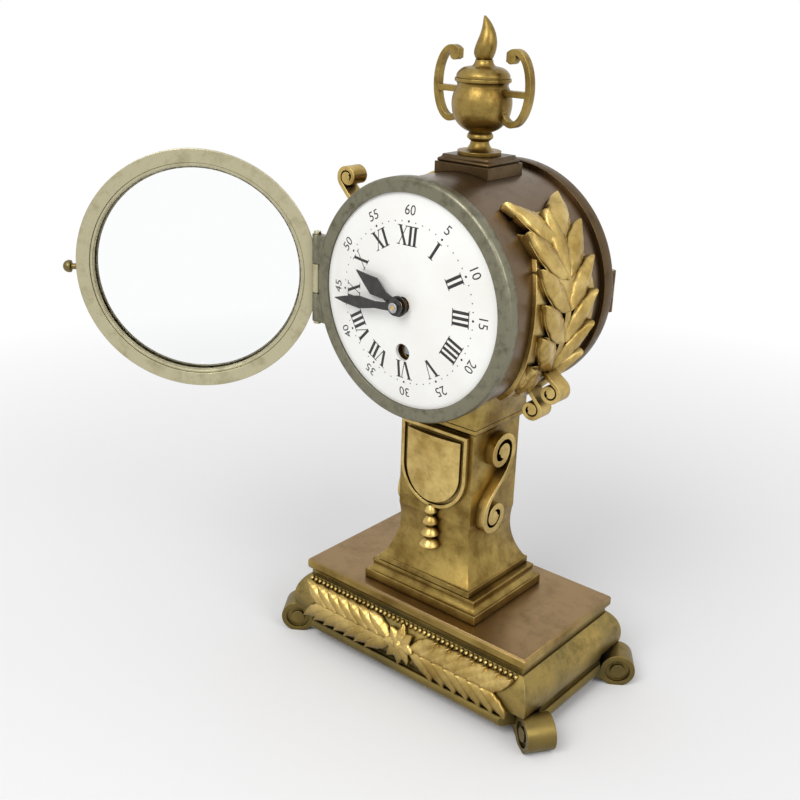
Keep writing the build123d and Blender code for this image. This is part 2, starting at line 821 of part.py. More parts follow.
def flame_finial():
    """Swaying flame on the lid."""
    base = socle_top() + urn_stem_height + urn_bowl_height + urn_lid_height
    widest = urn_bowl_radius * 0.36
    stages = ((0.0, 0.72, 0.0), (0.28, 1.0, 0.4), (0.6, 0.72, 1.2), (0.85, 0.38, 0.4), (1.0, 0.08, -0.8))
    sections = []
    for share, size, lean in stages:
        sections.append(Pos(lean, 0, base + share * flame_height) * Circle(widest * size))
    body = loft(sections)
    return body - upright(0, 0, stud_radius, base, base + 3)


def urn_stud():
    """Threaded stud from inside the drum up into the flame."""
    top = socle_top() + urn_stem_height + urn_bowl_height + urn_lid_height + 3
    return upright(0, 0, stud_radius, nut_seat(0, 1) - nut_height - 0.6, top)


# Dial and hands

def domed(radius, rise, front, thickness, rim):
    """Domed disc with a flat rim, its rim's front on a Y plane."""
    bow = dome_bow(radius, rise)
    return turned_y(
        (0, front - rise), (radius, front, -bow), (rim, front), (rim, front + thickness),
        (radius, front + thickness), (0, front - rise + thickness, bow),
    )


def dial():
    """Domed enamel dial with holes for the hands and the winding square."""
    disc = domed(dial_sight_radius - 0.2, dial_rise, dial_rim, dial_thickness, dial_radius)
    disc -= rod(0, 0, hour_pipe_radius + 0.8, dial_rim - dial_rise - 1, dial_plate_front)
    return lifted(disc - rod(0, -winding_offset, winding_square, dial_rim - dial_rise - 1, dial_plate_front))


def dial_plate():
    """Brass backing disc whose three feet stand on the front plate."""
    disc = rod(0, 0, dial_radius, dial_plate_front, dial_plate_back)
    disc -= rod(0, 0, hour_pipe_radius + 0.6, dial_plate_front, dial_plate_back)
    disc -= rod(0, -winding_offset, winding_square, dial_plate_front, dial_plate_back)
    for angle in (90, 225, 315):
        disc += rod(*polar(dial_foot_circle, angle), dial_foot_radius, dial_plate_back, front_plate_front)
    return lifted(disc)


def hand(length, boss, stem, blade, front, bore, angle):
    """Lance shaped hand, bent to follow the dial's dome."""
    half = [(stem, 0), (stem * 0.8, length * 0.3), (blade, length * 0.55), (stem * 0.8, length * 0.82)]
    points = half + [(0, length)] + [(-x, z) for x, z in reversed(half)]
    shape = make_face(Polyline(*points, close=True)) + Circle(boss) - Circle(bore)
    flat = slab(Rot(0, 0, -angle) * shape, front - 3, dial_rim)
    sheet_rise = dial_rise * (length / dial_sight_radius) ** 2 + 1.2
    bow = dome_bow(length + 1, sheet_rise)
    sheet = turned_y(
        (0, front), (length + 1, front + sheet_rise, -bow),
        (length + 1, front + sheet_rise + hand_thickness), (0, front + hand_thickness, bow),
    )
    return lifted(flat & sheet)


cannon_radius = 1.8
hand_seat_radius = 1.4
hour_pipe_bore = cannon_radius + running_clearance
hour_pipe_radius = 2.6
centre_post_radius = 1.0
hour_hand_front = dial_rim - dial_rise - 3.3
minute_hand_front = hour_hand_front - 2.0
cannon_front = minute_hand_front - 1.0


def hour_hand():
    widths = (hour_hand_boss, hour_hand_stem, hour_hand_blade)
    return hand(hour_hand_length, *widths, hour_hand_front, hour_pipe_radius, hour_hand_angle)


def minute_hand():
    widths = (minute_hand_boss, minute_hand_stem, minute_hand_blade)
    return hand(minute_hand_length, *widths, minute_hand_front, hand_seat_radius, minute_hand_angle)


# Bezel, made closed and then swung open

def opened(shape):
    """Swing a bezel piece about its hinge to the open position."""
    hinge = Pos(bezel_hinge_x, bezel_hinge_y, 0)
    back = Pos(-bezel_hinge_x, -bezel_hinge_y, 0)
    return lifted(hinge * Rot(0, 0, -bezel_open_angle) * back * shape)


bezel_back = ring_front - free_clearance
glass_seat = bezel_back - (bezel_depth - bezel_lip - 1.6)
rebate_radius = dial_sight_radius + bezel_rebate


def bezel_ring_closed():
    """Moulded ring with a rebate for the glass and the hinge's middle knuckle."""
    front = bezel_back - bezel_depth
    ring = turned_y(
        (rebate_radius, bezel_back), (bezel_radius, bezel_back), (bezel_radius, bezel_back - 1.6),
        (rebate_radius + 1.6, front, 1.1), (rebate_radius - 0.6, front),
        (dial_sight_radius, glass_seat - bezel_lip, -0.5), (dial_sight_radius, glass_seat), (rebate_radius, glass_seat),
    )
    ring += knuckles(
        bezel_hinge_x, bezel_hinge_y, bezel_knuckle_radius, bezel_hinge_length,
        (bezel_hinge_x - 1.6, bezel_hinge_x + 1.6), (bezel_back - 1, bezel_hinge_y),
        hinge_pin_radius + running_clearance, middle=True,
    )
    return ring


def bezel_glass():
    """Domed glass with a flat rim in the bezel's rebate."""
    rim = rebate_radius - hole_clearance
    return opened(domed(dial_sight_radius - free_clearance, glass_rise, glass_seat, glass_thickness, rim))


def glass_retainer():
    """Sprung ring that holds the glass from behind."""
    front = glass_seat + glass_thickness
    ring = turned_y(
        (dial_sight_radius + 0.8, front), (rebate_radius - hole_clearance, front),
        (rebate_radius - hole_clearance, bezel_back - 0.4), (dial_sight_radius + 1.4, bezel_back - 0.4),
    )
    return opened(ring)


def bezel_knob(ring):
    """Turned pull at the bezel's free edge."""
    start = bezel_radius - 0.4
    end = start + bezel_knob_length
    profile = outline(
        (start, 0), (start, bezel_knob_radius * 0.5), (end - bezel_knob_radius * 1.5, bezel_knob_radius * 0.5),
        (end - bezel_knob_radius * 1.3, bezel_knob_radius), (end, bezel_knob_radius * 0.3, bezel_knob_radius * 0.3),
        (end, 0),
    )
    knob = Pos(0, bezel_back - 2, 0) * revolve(profile, Axis.X)
    return opened(knob - ring)


def bezel_hinge_pin():
    """Pin through the bezel's hinge, with a small head at each end."""
    half = bezel_hinge_length / 2
    pin = upright(bezel_hinge_x, bezel_hinge_y, hinge_pin_radius, -half, half)
    for low in (-half - 1.2, half):
        pin += upright(bezel_hinge_x, bezel_hinge_y, hinge_pin_radius * 1.6, low, low + 1.2)
    return lifted(pin)


# Back door

def back_door():
    """Round hinged cover with a raised rim and a pull."""
    front = rear_face + hole_clearance
    door = turned_y(
        (0, front), (door_radius, front), (door_radius, front + door_rim), (door_radius - 2.4, front + door_rim),
        (door_radius - 3.6, front + door_thickness, 0.3), (0, front + door_thickness),
    )
    pull = outline(
        (0, front), (1.3, front), (1.3, front + 4), (2.6, front + 5), (0.8, front + 7, -0.4), (0, front + 7),
    )
    door += Pos(-door_radius + 8, 0, 0) * revolve(pull, Axis.Y)
    door += knuckles(
        door_hinge_x, rear_face + door_hinge_lift, door_knuckle_radius, door_hinge_length,
        (door_radius - 1, door_hinge_x), (front, front + 1.6), hinge_pin_radius + running_clearance, middle=True,
    )
    return lifted(door)


def door_hinge_pin():
    """Pin through the back door's hinge."""
    half = door_hinge_length / 2
    return lifted(upright(door_hinge_x, rear_face + door_hinge_lift, hinge_pin_radius, -half, half))


# Movement: arbor places about the dial's centre, in (x, z)

great_module = 2 * winding_offset / (great_wheel_teeth + centre_pinion_leaves)
centre_at = (0.0, 0.0)
barrel_at = (0.0, -winding_offset)
third_at = shifted(centre_at, third_module * (centre_wheel_teeth + third_pinion_leaves) / 2, third_bearing)
fourth_at = shifted(third_at, fourth_module * (third_wheel_teeth + fourth_pinion_leaves) / 2, fourth_bearing)
escape_at = shifted(fourth_at, escape_module * (fourth_wheel_teeth + escape_pinion_leaves) / 2, escape_bearing)
motion_distance = motion_module * (cannon_leaves + minute_wheel_teeth) / 2
motion_at = shifted(centre_at, motion_distance, motion_bearing)
hour_module = 2 * motion_distance / (minute_pinion_leaves + hour_wheel_teeth)
lever_at = shifted(escape_at, lever_distance, balance_line)
balance_at = shifted(lever_at, balance_distance, balance_line)
cock_foot_at = shifted(balance_at, balance_radius + 3.0, balance_line)
bridge_foot_at = shifted(escape_at, escape_wheel_radius + 2.7, balance_line + 180)
click_at = shifted(barrel_at, ratchet_radius + 4.5, 40)

# Movement: places along Y, counted back from the front plate
great_wheel_front = front_plate_back + 4.0
great_wheel_back = great_wheel_front + 2.4
barrel_back = great_wheel_front + barrel_length
third_wheel_front = great_wheel_front + 11.0
centre_wheel_front = barrel_back + 3.0
fourth_wheel_front = back_plate_front - 4.0
platform_back = back_plate_back + 1.5
escape_wheel_front = platform_back + 2.5
bridge_front = escape_wheel_front + 2.4
balance_front = bridge_front + 2.6
hairspring_front = balance_front + 2.2
cock_front = hairspring_front + 2.2
wheel_thickness = 1.2


def pillar_places():
    angles = (pillar_angle, 180 - pillar_angle, 180 + pillar_angle, -pillar_angle)
    return [polar(pillar_circle, angle) for angle in angles]


def front_plate():
    """Front plate with pivot holes and the minute wheel's post."""
    plate = rod(0, 0, movement_plate_radius, front_plate_front, front_plate_back)
    holes = [
        (centre_at, centre_pivot_radius), (barrel_at, barrel_shaft_radius), (third_at, pivot_radius),
        (fourth_at, pivot_radius), (escape_at, pivot_radius),
    ]
    for place, radius in holes:
        plate -= rod(*place, radius + running_clearance, front_plate_front, front_plate_back)
    for place in pillar_places():
        plate -= rod(*place, pillar_radius * 0.6, front_plate_front, front_plate_back)
    plate += rod(*motion_at, motion_post_radius, dial_plate_back + 0.4, front_plate_front)
    plate += rod(*click_at, motion_post_radius, front_plate_front - 2.4, front_plate_front)
    return lifted(plate)


def back_plate():
    """Back plate with pivot holes, and a clear hole for the escape arbor."""
    plate = rod(0, 0, movement_plate_radius, back_plate_front, back_plate_back)
    for place in (centre_at, barrel_at, third_at, fourth_at):
        plate -= rod(*place, pivot_radius + running_clearance, back_plate_front, back_plate_back)
    plate -= rod(*escape_at, pivot_radius + 1, back_plate_front, back_plate_back)
    for place in pillar_places():
        plate -= rod(*place, pillar_radius * 0.6, back_plate_front, back_plate_back)
    return lifted(plate)


def plate_pillars():
    """Four pillars, riveted in front and threaded behind."""
    pillars = []
    for place in pillar_places():
        bar = rod(*place, pillar_radius, front_plate_back, back_plate_front)
        pillars.append(lifted(bar + rod(*place, pillar_radius * 0.6, front_plate_front, back_plate_back + 2.6)))
    return Compound(children=pillars)


def pillar_nuts():
    """Round nuts on the pillars behind the back plate."""
    nuts = []
    for place in pillar_places():
        ring = Circle(pillar_radius * 1.1) - Circle(pillar_radius * 0.6)
        nuts.append(lifted(slab(Pos(*place) * ring, back_plate_back, back_plate_back + 2)))
    return Compound(children=nuts)


centre_pivot_radius = 1.3
barrel_shaft_radius = 2.4
motion_post_radius = 1.0
arbor_radius = 0.9
centre_arbor_radius = 1.5
inner_front = front_plate_back + end_shake
inner_back = back_plate_front - end_shake


def arbor(place, radius):
    """Train arbor with a pivot in each plate."""
    bar = rod(*place, radius, inner_front, inner_back)
    return bar + rod(*place, pivot_radius, front_plate_front + 0.2, back_plate_back - 0.2)


def crossed_wheel(place, teeth, module, phase, front, thickness=wheel_thickness):
    """Toothed wheel with four crossings cut from its web."""
    rim = module * teeth / 2 - 2.2
    web = toothed(teeth, module, phase)
    if rim > 5:
        gap = Circle(rim) - Circle(3.0) - Rectangle(2 * rim, 1.6) - Rectangle(1.6, 2 * rim)
        web -= gap
    return slab(Pos(*place) * web, front, front + thickness)


def pinion(place, leaves, module, phase, front, back):
    """Leaved pinion cut in one with its arbor."""
    return slab(Pos(*place) * toothed(leaves, module, phase), front, back)


great_phase = meshing_phase(centre_at, centre_pinion_leaves, 0.0, barrel_at, great_wheel_teeth)
third_pinion_phase = meshing_phase(centre_at, centre_wheel_teeth, 0.0, third_at, third_pinion_leaves)
fourth_pinion_phase = meshing_phase(third_at, third_wheel_teeth, 0.0, fourth_at, fourth_pinion_leaves)
escape_pinion_phase = meshing_phase(fourth_at, fourth_wheel_teeth, 0.0, escape_at, escape_pinion_leaves)
minute_wheel_phase = meshing_phase(centre_at, cannon_leaves, 0.0, motion_at, minute_wheel_teeth)
hour_wheel_phase = meshing_phase(motion_at, minute_pinion_leaves, 0.0, centre_at, hour_wheel_teeth)


def centre_arbor():
    """Centre arbor with its pinion and wheel, drawn out in front to carry the hands."""
    body = rod(0, 0, centre_arbor_radius, inner_front, inner_back)
    body += rod(0, 0, pivot_radius, inner_back, back_plate_back - 0.2)
    body += rod(0, 0, centre_pivot_radius, front_plate_front - 0.4, inner_front)
    body += rod(0, 0, centre_post_radius, cannon_front, front_plate_front)
    ends = (great_wheel_front - 0.8, great_wheel_back + 0.8)
    body += pinion(centre_at, centre_pinion_leaves, great_module, 0.0, *ends)
    body += crossed_wheel(centre_at, centre_wheel_teeth, third_module, 0.0, centre_wheel_front)
    return lifted(body)


cannon_back = front_plate_front - 0.6
cannon_leaf_front = cannon_back - 2.6
hour_wheel_front = cannon_leaf_front - 1.6


def cannon_pinion():
    """Cannon pinion, a friction fit on the centre arbor, with the hand's collet at its front."""
    leaves = pinion(centre_at, cannon_leaves, motion_module, 0.0, cannon_leaf_front, cannon_back)
    body = leaves + rod(0, 0, cannon_radius, minute_hand_front + hand_thickness + 0.3, cannon_back)
    body += rod(0, 0, hand_seat_radius, cannon_front, cannon_back)
    body += rod(0, 0, 2.1, cannon_front, minute_hand_front - 0.1)
    return lifted(body - rod(0, 0, centre_post_radius, cannon_front, cannon_back))


def hour_wheel():
    """Hour wheel on a pipe that turns on the cannon pinion."""
    body = crossed_wheel(centre_at, hour_wheel_teeth, hour_module, hour_wheel_phase, hour_wheel_front, 1.0)
    body += rod(0, 0, hour_pipe_radius, hour_hand_front - 0.2, cannon_leaf_front - hole_clearance)
    return lifted(body - rod(0, 0, hour_pipe_bore, hour_hand_front - 1, cannon_back))


def minute_wheel():
    """Motion wheel between cannon pinion and hour wheel, with its own pinion."""
    body = crossed_wheel(motion_at, minute_wheel_teeth, motion_module, minute_wheel_phase, cannon_back - 2.0)
    ends = (hour_wheel_front - 0.2, cannon_back - 1.0)
    body += pinion(motion_at, minute_pinion_leaves, hour_module, 0.0, *ends)
    body -= rod(*motion_at, motion_post_radius + running_clearance, dial_plate_back, front_plate_front)
    return lifted(body)


def spring_barrel():
    """Closed barrel with the great wheel on its front edge."""
    teeth = toothed(great_wheel_teeth, great_module, great_phase)
    wheel = slab(Pos(*barrel_at) * teeth, great_wheel_front, great_wheel_back)
    body = wheel + rod(*barrel_at, barrel_radius, great_wheel_back, barrel_back)
    body -= rod(*barrel_at, barrel_radius - barrel_wall, great_wheel_front + 1.4, barrel_back - barrel_wall)
    return lifted(body - rod(*barrel_at, barrel_shaft_radius + running_clearance, great_wheel_front, barrel_back))


def mainspring():
    """Coiled spring inside the barrel."""
    core = barrel_shaft_radius + 2.6
    pitch = (barrel_radius - barrel_wall - core - 1.2) / 5
    strip = spiral_strip(core, pitch, 0.6, 10)
    return lifted(slab(Pos(*barrel_at) * strip, great_wheel_front + 2.0, barrel_back - barrel_wall - 0.6))


def ratchet_outline():
    """Saw toothed ratchet."""
    pitch = 2 * pi / ratchet_teeth
    points = []
    for index in range(ratchet_teeth):
        for radius, share in ((ratchet_radius - 1.0, 0.0), (ratchet_radius, 0.85)):
            angle = (index + share) * pitch
            points.append((radius * cos(angle), radius * sin(angle)))
    return make_face(Polyline(*points, close=True))


def winding_arbor():
    """Barrel arbor with its ratchet and the winding square behind the dial's hole."""
    body = rod(*barrel_at, barrel_shaft_radius, front_plate_front - 2.6, inner_back)
    body += rod(*barrel_at, barrel_shaft_radius + 1.8, great_wheel_front + 1.8, barrel_back - barrel_wall - 0.4)
    body += rod(*barrel_at, pivot_radius, inner_back, back_plate_back - 0.2)
    square = Pos(*barrel_at) * Rectangle(winding_square, winding_square)
    body += slab(square, dial_rim, front_plate_front - 2.6)
    body += slab(Pos(*barrel_at) * ratchet_outline(), front_plate_front - 2.2, front_plate_front - 0.4)
    return lifted(body)


def click():
    """Click that lies against the ratchet's teeth."""
    tip = shifted(barrel_at, ratchet_radius + 0.65, 66)
    arm_angle = degrees(atan2(tip[1] - click_at[1], tip[0] - click_at[0]))
    length = hypot(tip[0] - click_at[0], tip[1] - click_at[1])
    arm = Pos(*click_at) * Rot(0, 0, arm_angle) * outline((0, -1.1), (length, -0.4), (length, 0.3), (0, 1.3))
    shape = arm + Pos(*click_at) * Circle(2.2)
    shape -= Pos(*click_at) * Circle(motion_post_radius + running_clearance)
    return lifted(slab(shape, front_plate_front - 2.1, front_plate_front - 0.4))


def third_wheel():
    body = arbor(third_at, arbor_radius)
    ends = (centre_wheel_front - 1.2, centre_wheel_front + 2.4)
    body += pinion(third_at, third_pinion_leaves, third_module, third_pinion_phase, *ends)
    return lifted(body + crossed_wheel(third_at, third_wheel_teeth, fourth_module, 0.0, third_wheel_front))


def fourth_wheel():
    body = arbor(fourth_at, arbor_radius * 0.9)
    ends = (third_wheel_front - 1.2, third_wheel_front + 2.4)
    body += pinion(fourth_at, fourth_pinion_leaves, fourth_module, fourth_pinion_phase, *ends)
    return lifted(body + crossed_wheel(fourth_at, fourth_wheel_teeth, escape_module, 0.0, fourth_wheel_front, 1.0))


# Escapement on its platform behind the back plate

def along_balance_line(length, width):
    """Bar with round ends that starts at the origin and follows the escapement's line."""
    slot = SlotCenterToCenter(length, width)
    return Rot(0, 0, balance_line) * Pos(length / 2, 0) * slot


def escape_wheel():
    """Escape pinion on a long arbor, with the escape wheel behind the platform."""
    body = rod(*escape_at, 0.75, inner_front, bridge_front - end_shake)
    body += rod(*escape_at, pivot_radius, front_plate_front + 0.2, inner_front)
    body += rod(*escape_at, escape_pivot_radius, bridge_front - end_shake, bridge_front + 1.0)
    ends = (fourth_wheel_front - 1, fourth_wheel_front + 2)
    body += pinion(escape_at, escape_pinion_leaves, escape_module, escape_pinion_phase, *ends)
    pitch = 2 * pi / escape_teeth
    points = []
    for index in range(escape_teeth):
        for radius, share in ((escape_wheel_radius - 0.9, 0.0), (escape_wheel_radius, 0.55), (escape_wheel_radius, 0.7)):
            angle = (index + share) * pitch
            points.append((radius * cos(angle), radius * sin(angle)))
    wheel = Pos(*escape_at) * make_face(Polyline(*points, close=True))
    return lifted(body + slab(wheel, escape_wheel_front, escape_wheel_front + 0.6))


escape_pivot_radius = 0.35


def escapement_platform():
    """Plate on the back plate that carries the escapement's pivots."""
    length = hypot(cock_foot_at[0] - bridge_foot_at[0], cock_foot_at[1] - bridge_foot_at[1])
    plate = slab(Pos(*bridge_foot_at) * along_balance_line(length, platform_width), back_plate_back, platform_back)
    plate -= rod(*escape_at, pivot_radius + 1, back_plate_back, platform_back)
    for place in (lever_at, balance_at):
        plate -= rod(*place, escape_pivot_radius + running_clearance, back_plate_back + 0.4, platform_back)
    return lifted(plate)


def escape_bridge():
    """One footed bridge over the escape wheel and the lever."""
    length = hypot(lever_at[0] - bridge_foot_at[0], lever_at[1] - bridge_foot_at[1])
    bar = slab(Pos(*bridge_foot_at) * along_balance_line(length, bridge_width), bridge_front, bridge_front + 1.2)
    bar += rod(*bridge_foot_at, 1.9, platform_back, bridge_front + 1.2)
    for place in (escape_at, lever_at):
        bar -= rod(*place, escape_pivot_radius + running_clearance, bridge_front, bridge_front + 1.2)
    return lifted(bar)


def pallet_lever():
    """Lever with two pallets towards the escape wheel and a fork towards the balance."""
    front = escape_wheel_front - 0.1
    back = front + 0.8
    body = rod(*lever_at, 0.7, platform_back + end_shake, bridge_front - end_shake)
    body += rod(*lever_at, escape_pivot_radius, back_plate_back + 0.6, bridge_front + 1.0)
    shape = Pos(*lever_at) * along_balance_line(balance_distance - 2.3, 0.9)
    shape += Pos(*lever_at) * Circle(1.0)
    for side in (-1, 1):
        reach = shifted(escape_at, escape_wheel_radius + 0.9, balance_line + side * 34)
        length = hypot(reach[0] - lever_at[0], reach[1] - lever_at[1])
        angle = degrees(atan2(reach[1] - lever_at[1], reach[0] - lever_at[0]))
        shape += Pos(*lever_at) * Rot(0, 0, angle) * Pos(length / 2, 0) * SlotCenterToCenter(length, 0.7)
        fork = shifted(lever_at, balance_distance - 1.9, balance_line + side * 14)
        shape += Pos(*fork) * Circle(0.35)
    shape -= Pos(*escape_at) * Circle(escape_wheel_radius + 0.4)
    return lifted(body + slab(shape, front, back))


def balance_wheel():
    """Balance with its staff and roller."""
    body = rod(*balance_at, 0.55, platform_back + end_shake, cock_front - end_shake)
    body += rod(*balance_at, escape_pivot_radius, back_plate_back + 0.6, cock_front + 1.2)
    body += rod(*balance_at, 1.2, escape_wheel_front - 0.1, escape_wheel_front + 0.5)
    rim = Circle(balance_radius) - Circle(balance_radius - balance_rim)
    web = rim + Rectangle(2 * balance_radius - 1, 1.4) + Circle(1.5)
    return lifted(body + slab(Pos(*balance_at) * web, balance_front, balance_front + 1.2))


def hairspring():
    """Flat spiral spring on the balance staff."""
    collet = Circle(1.1) - Circle(0.55)
    strip = spiral_strip(0.95, 0.8, 0.22, 8)
    return lifted(slab(Pos(*balance_at) * (strip + collet), hairspring_front, hairspring_front + 0.6))


def balance_cock():
    """Cock with its foot on the platform and its end over the balance."""
    length = hypot(cock_foot_at[0] - balance_at[0], cock_foot_at[1] - balance_at[1])
    bar = slab(Pos(*balance_at) * along_balance_line(length, cock_width), cock_front, cock_front + 1.6)
    bar += rod(*cock_foot_at, 2.1, platform_back, cock_front + 1.6)
    bar -= rod(*balance_at, escape_pivot_radius + running_clearance, cock_front, cock_front + 1.3)
    return lifted(bar)


# Assembly

def make_parts():
    """Every piece of the clock under its own name."""
    parts = {}
    frame = base_frame()
    parts["base_frame"] = frame
    parts["base_plate"] = base_plate()
    parts["base_front_frieze"] = base_front_frieze(frame)
    for name, (side_x, side_y) in corners.items():
        parts[f"foot_{name}"] = at_foot(foot(), side_x, side_y)
    screws = [at_foot(foot_screw(), side_x, side_y) for side_x, side_y in corners.values()]
    parts["foot_screws"] = Compound(children=screws)
    shaft = column()
    parts["column_plinth"] = column_plinth()
    parts["column"] = shaft
    parts["column_front_panel"] = column_front_panel(shaft)
    right_scroll = column_side_mount(shaft)
    parts["column_right_mount"] = right_scroll
    parts["column_left_mount"] = mirror(right_scroll, Plane.YZ)
    parts["drum_cradle"] = drum_cradle()
    parts["tie_rod"] = tie_rod()
    parts["case_nuts"] = case_nuts()
    parts["drum_shell"] = drum_shell()
    parts["front_ring"] = front_ring()
    parts["rear_ring"] = rear_ring()
    parts["case_bolts"] = case_bolts()
    parts["right_flank_mount"] = flank_mount(False)
    parts["left_flank_mount"] = mirror(flank_mount(True), Plane.YZ)
    parts["urn_socle"] = urn_socle()
    parts["urn_handles"] = urn_handles()
    parts["urn_body"] = urn_body(parts["urn_handles"])
    parts["urn_lid"] = urn_lid()
    parts["flame_finial"] = flame_finial()
    parts["urn_stud"] = urn_stud()
    ring = bezel_ring_closed()
    parts["bezel_ring"] = opened(ring)
    parts["bezel_knob"] = bezel_knob(ring)
    for maker in (
        bezel_glass, glass_retainer, bezel_hinge_pin, back_door, door_hinge_pin, dial, dial_plate, hour_hand,
        minute_hand, front_plate, back_plate, plate_pillars, pillar_nuts, centre_arbor, cannon_pinion, hour_wheel,
        minute_wheel, spring_barrel, mainspring, winding_arbor, click, third_wheel, fourth_wheel, escape_wheel,
        escapement_platform, escape_bridge, pallet_lever, balance_wheel, hairspring, balance_cock,
    ):
        parts[maker.__name__] = maker()
    return parts


os.makedirs("parts", exist_ok=True)
for node, piece in make_parts().items():
    export_step(piece, f"parts/{node}.step")
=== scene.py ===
import math

import bpy
from mathutils import Matrix, Vector


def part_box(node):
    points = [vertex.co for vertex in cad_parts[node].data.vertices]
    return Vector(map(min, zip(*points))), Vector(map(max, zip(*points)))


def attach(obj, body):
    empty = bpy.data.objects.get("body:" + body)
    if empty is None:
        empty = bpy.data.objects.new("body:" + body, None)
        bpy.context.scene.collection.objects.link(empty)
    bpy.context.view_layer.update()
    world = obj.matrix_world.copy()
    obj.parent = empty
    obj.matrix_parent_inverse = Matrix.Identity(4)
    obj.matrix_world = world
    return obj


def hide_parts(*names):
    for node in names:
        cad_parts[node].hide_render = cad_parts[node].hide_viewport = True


bl_info = {
    "name": "Gilt Drum Mantel Clock",
    "version": (1, 0, 0),
    "blender": (4, 5, 0),
    "location": "3D View > Sidebar > Clock",
    "description": "Dresses the drum mantel clock: gilding, dial figures, ornament, glass and studio",
    "category": "Object",
}

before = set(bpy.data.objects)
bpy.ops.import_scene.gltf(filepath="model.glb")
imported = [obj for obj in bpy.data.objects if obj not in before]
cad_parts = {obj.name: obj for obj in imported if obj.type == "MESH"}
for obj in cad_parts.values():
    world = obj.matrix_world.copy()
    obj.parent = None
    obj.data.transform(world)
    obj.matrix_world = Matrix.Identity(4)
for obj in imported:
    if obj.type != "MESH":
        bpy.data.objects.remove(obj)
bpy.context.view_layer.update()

# Which carried over pieces get which finish
DRESSED_NODES = {
    "gilt": [
        "column", "column_plinth", "drum_cradle", "urn_body", "urn_handles", "urn_lid", "flame_finial",
    ],
    # leaf: the lighter copy of the gilding, a painted highlight on pieces that catch the light
    "leaf": [
        "column_front_panel", "column_left_mount", "column_right_mount",
        "left_flank_mount", "right_flank_mount",
    ],
    "olive": [
        "base_frame", "foot_front_left", "foot_front_right", "foot_rear_left", "foot_rear_right",
        "bezel_knob",
    ],
    "brown": ["drum_shell", "back_door"],
    "plate": ["base_plate"],
    "umber": ["rear_ring", "urn_socle"],
    "ring": ["front_ring"],
    "bezel": ["bezel_ring", "glass_retainer", "bezel_hinge_pin", "door_hinge_pin"],
    "movement": [
        "dial_plate", "front_plate", "back_plate", "plate_pillars", "centre_arbor", "hour_wheel",
        "minute_wheel", "spring_barrel", "third_wheel", "fourth_wheel", "escape_wheel",
        "escapement_platform", "escape_bridge", "balance_cock", "balance_wheel",
    ],
    "steel": [
        "tie_rod", "case_nuts", "urn_stud", "pillar_nuts", "cannon_pinion", "mainspring",
        "winding_arbor", "click", "pallet_lever", "hairspring",
    ],
    "enamel": ["dial"],
    "black": ["hour_hand", "minute_hand"],
}

# Carried over pieces whose sharp edges are softened
SOFTENED_NODES = [
    "base_plate", "column_plinth", "column", "drum_cradle", "urn_socle",
    "front_ring", "rear_ring", "back_door",
]


# Settings that a user would change

def colour(name, words, value):
    """Colour setting."""
    return bpy.props.FloatVectorProperty(
        name=name, description=words, default=value, subtype="COLOR", min=0.0, max=1.0, size=3
    )


def length(name, words, value):
    """Length setting in metres."""
    return bpy.props.FloatProperty(
        name=name, description=words, default=value, unit="LENGTH", min=0.0, precision=5
    )


def heights(name, leaf, value):
    """Setting of a leaf's three heights in metres: its edge, its midrib over that and its tip's lift."""
    return bpy.props.FloatVectorProperty(
        name=name, description="Edge, midrib and lift of " + leaf, default=value,
        unit="LENGTH", min=0.0, precision=5, size=3,
    )


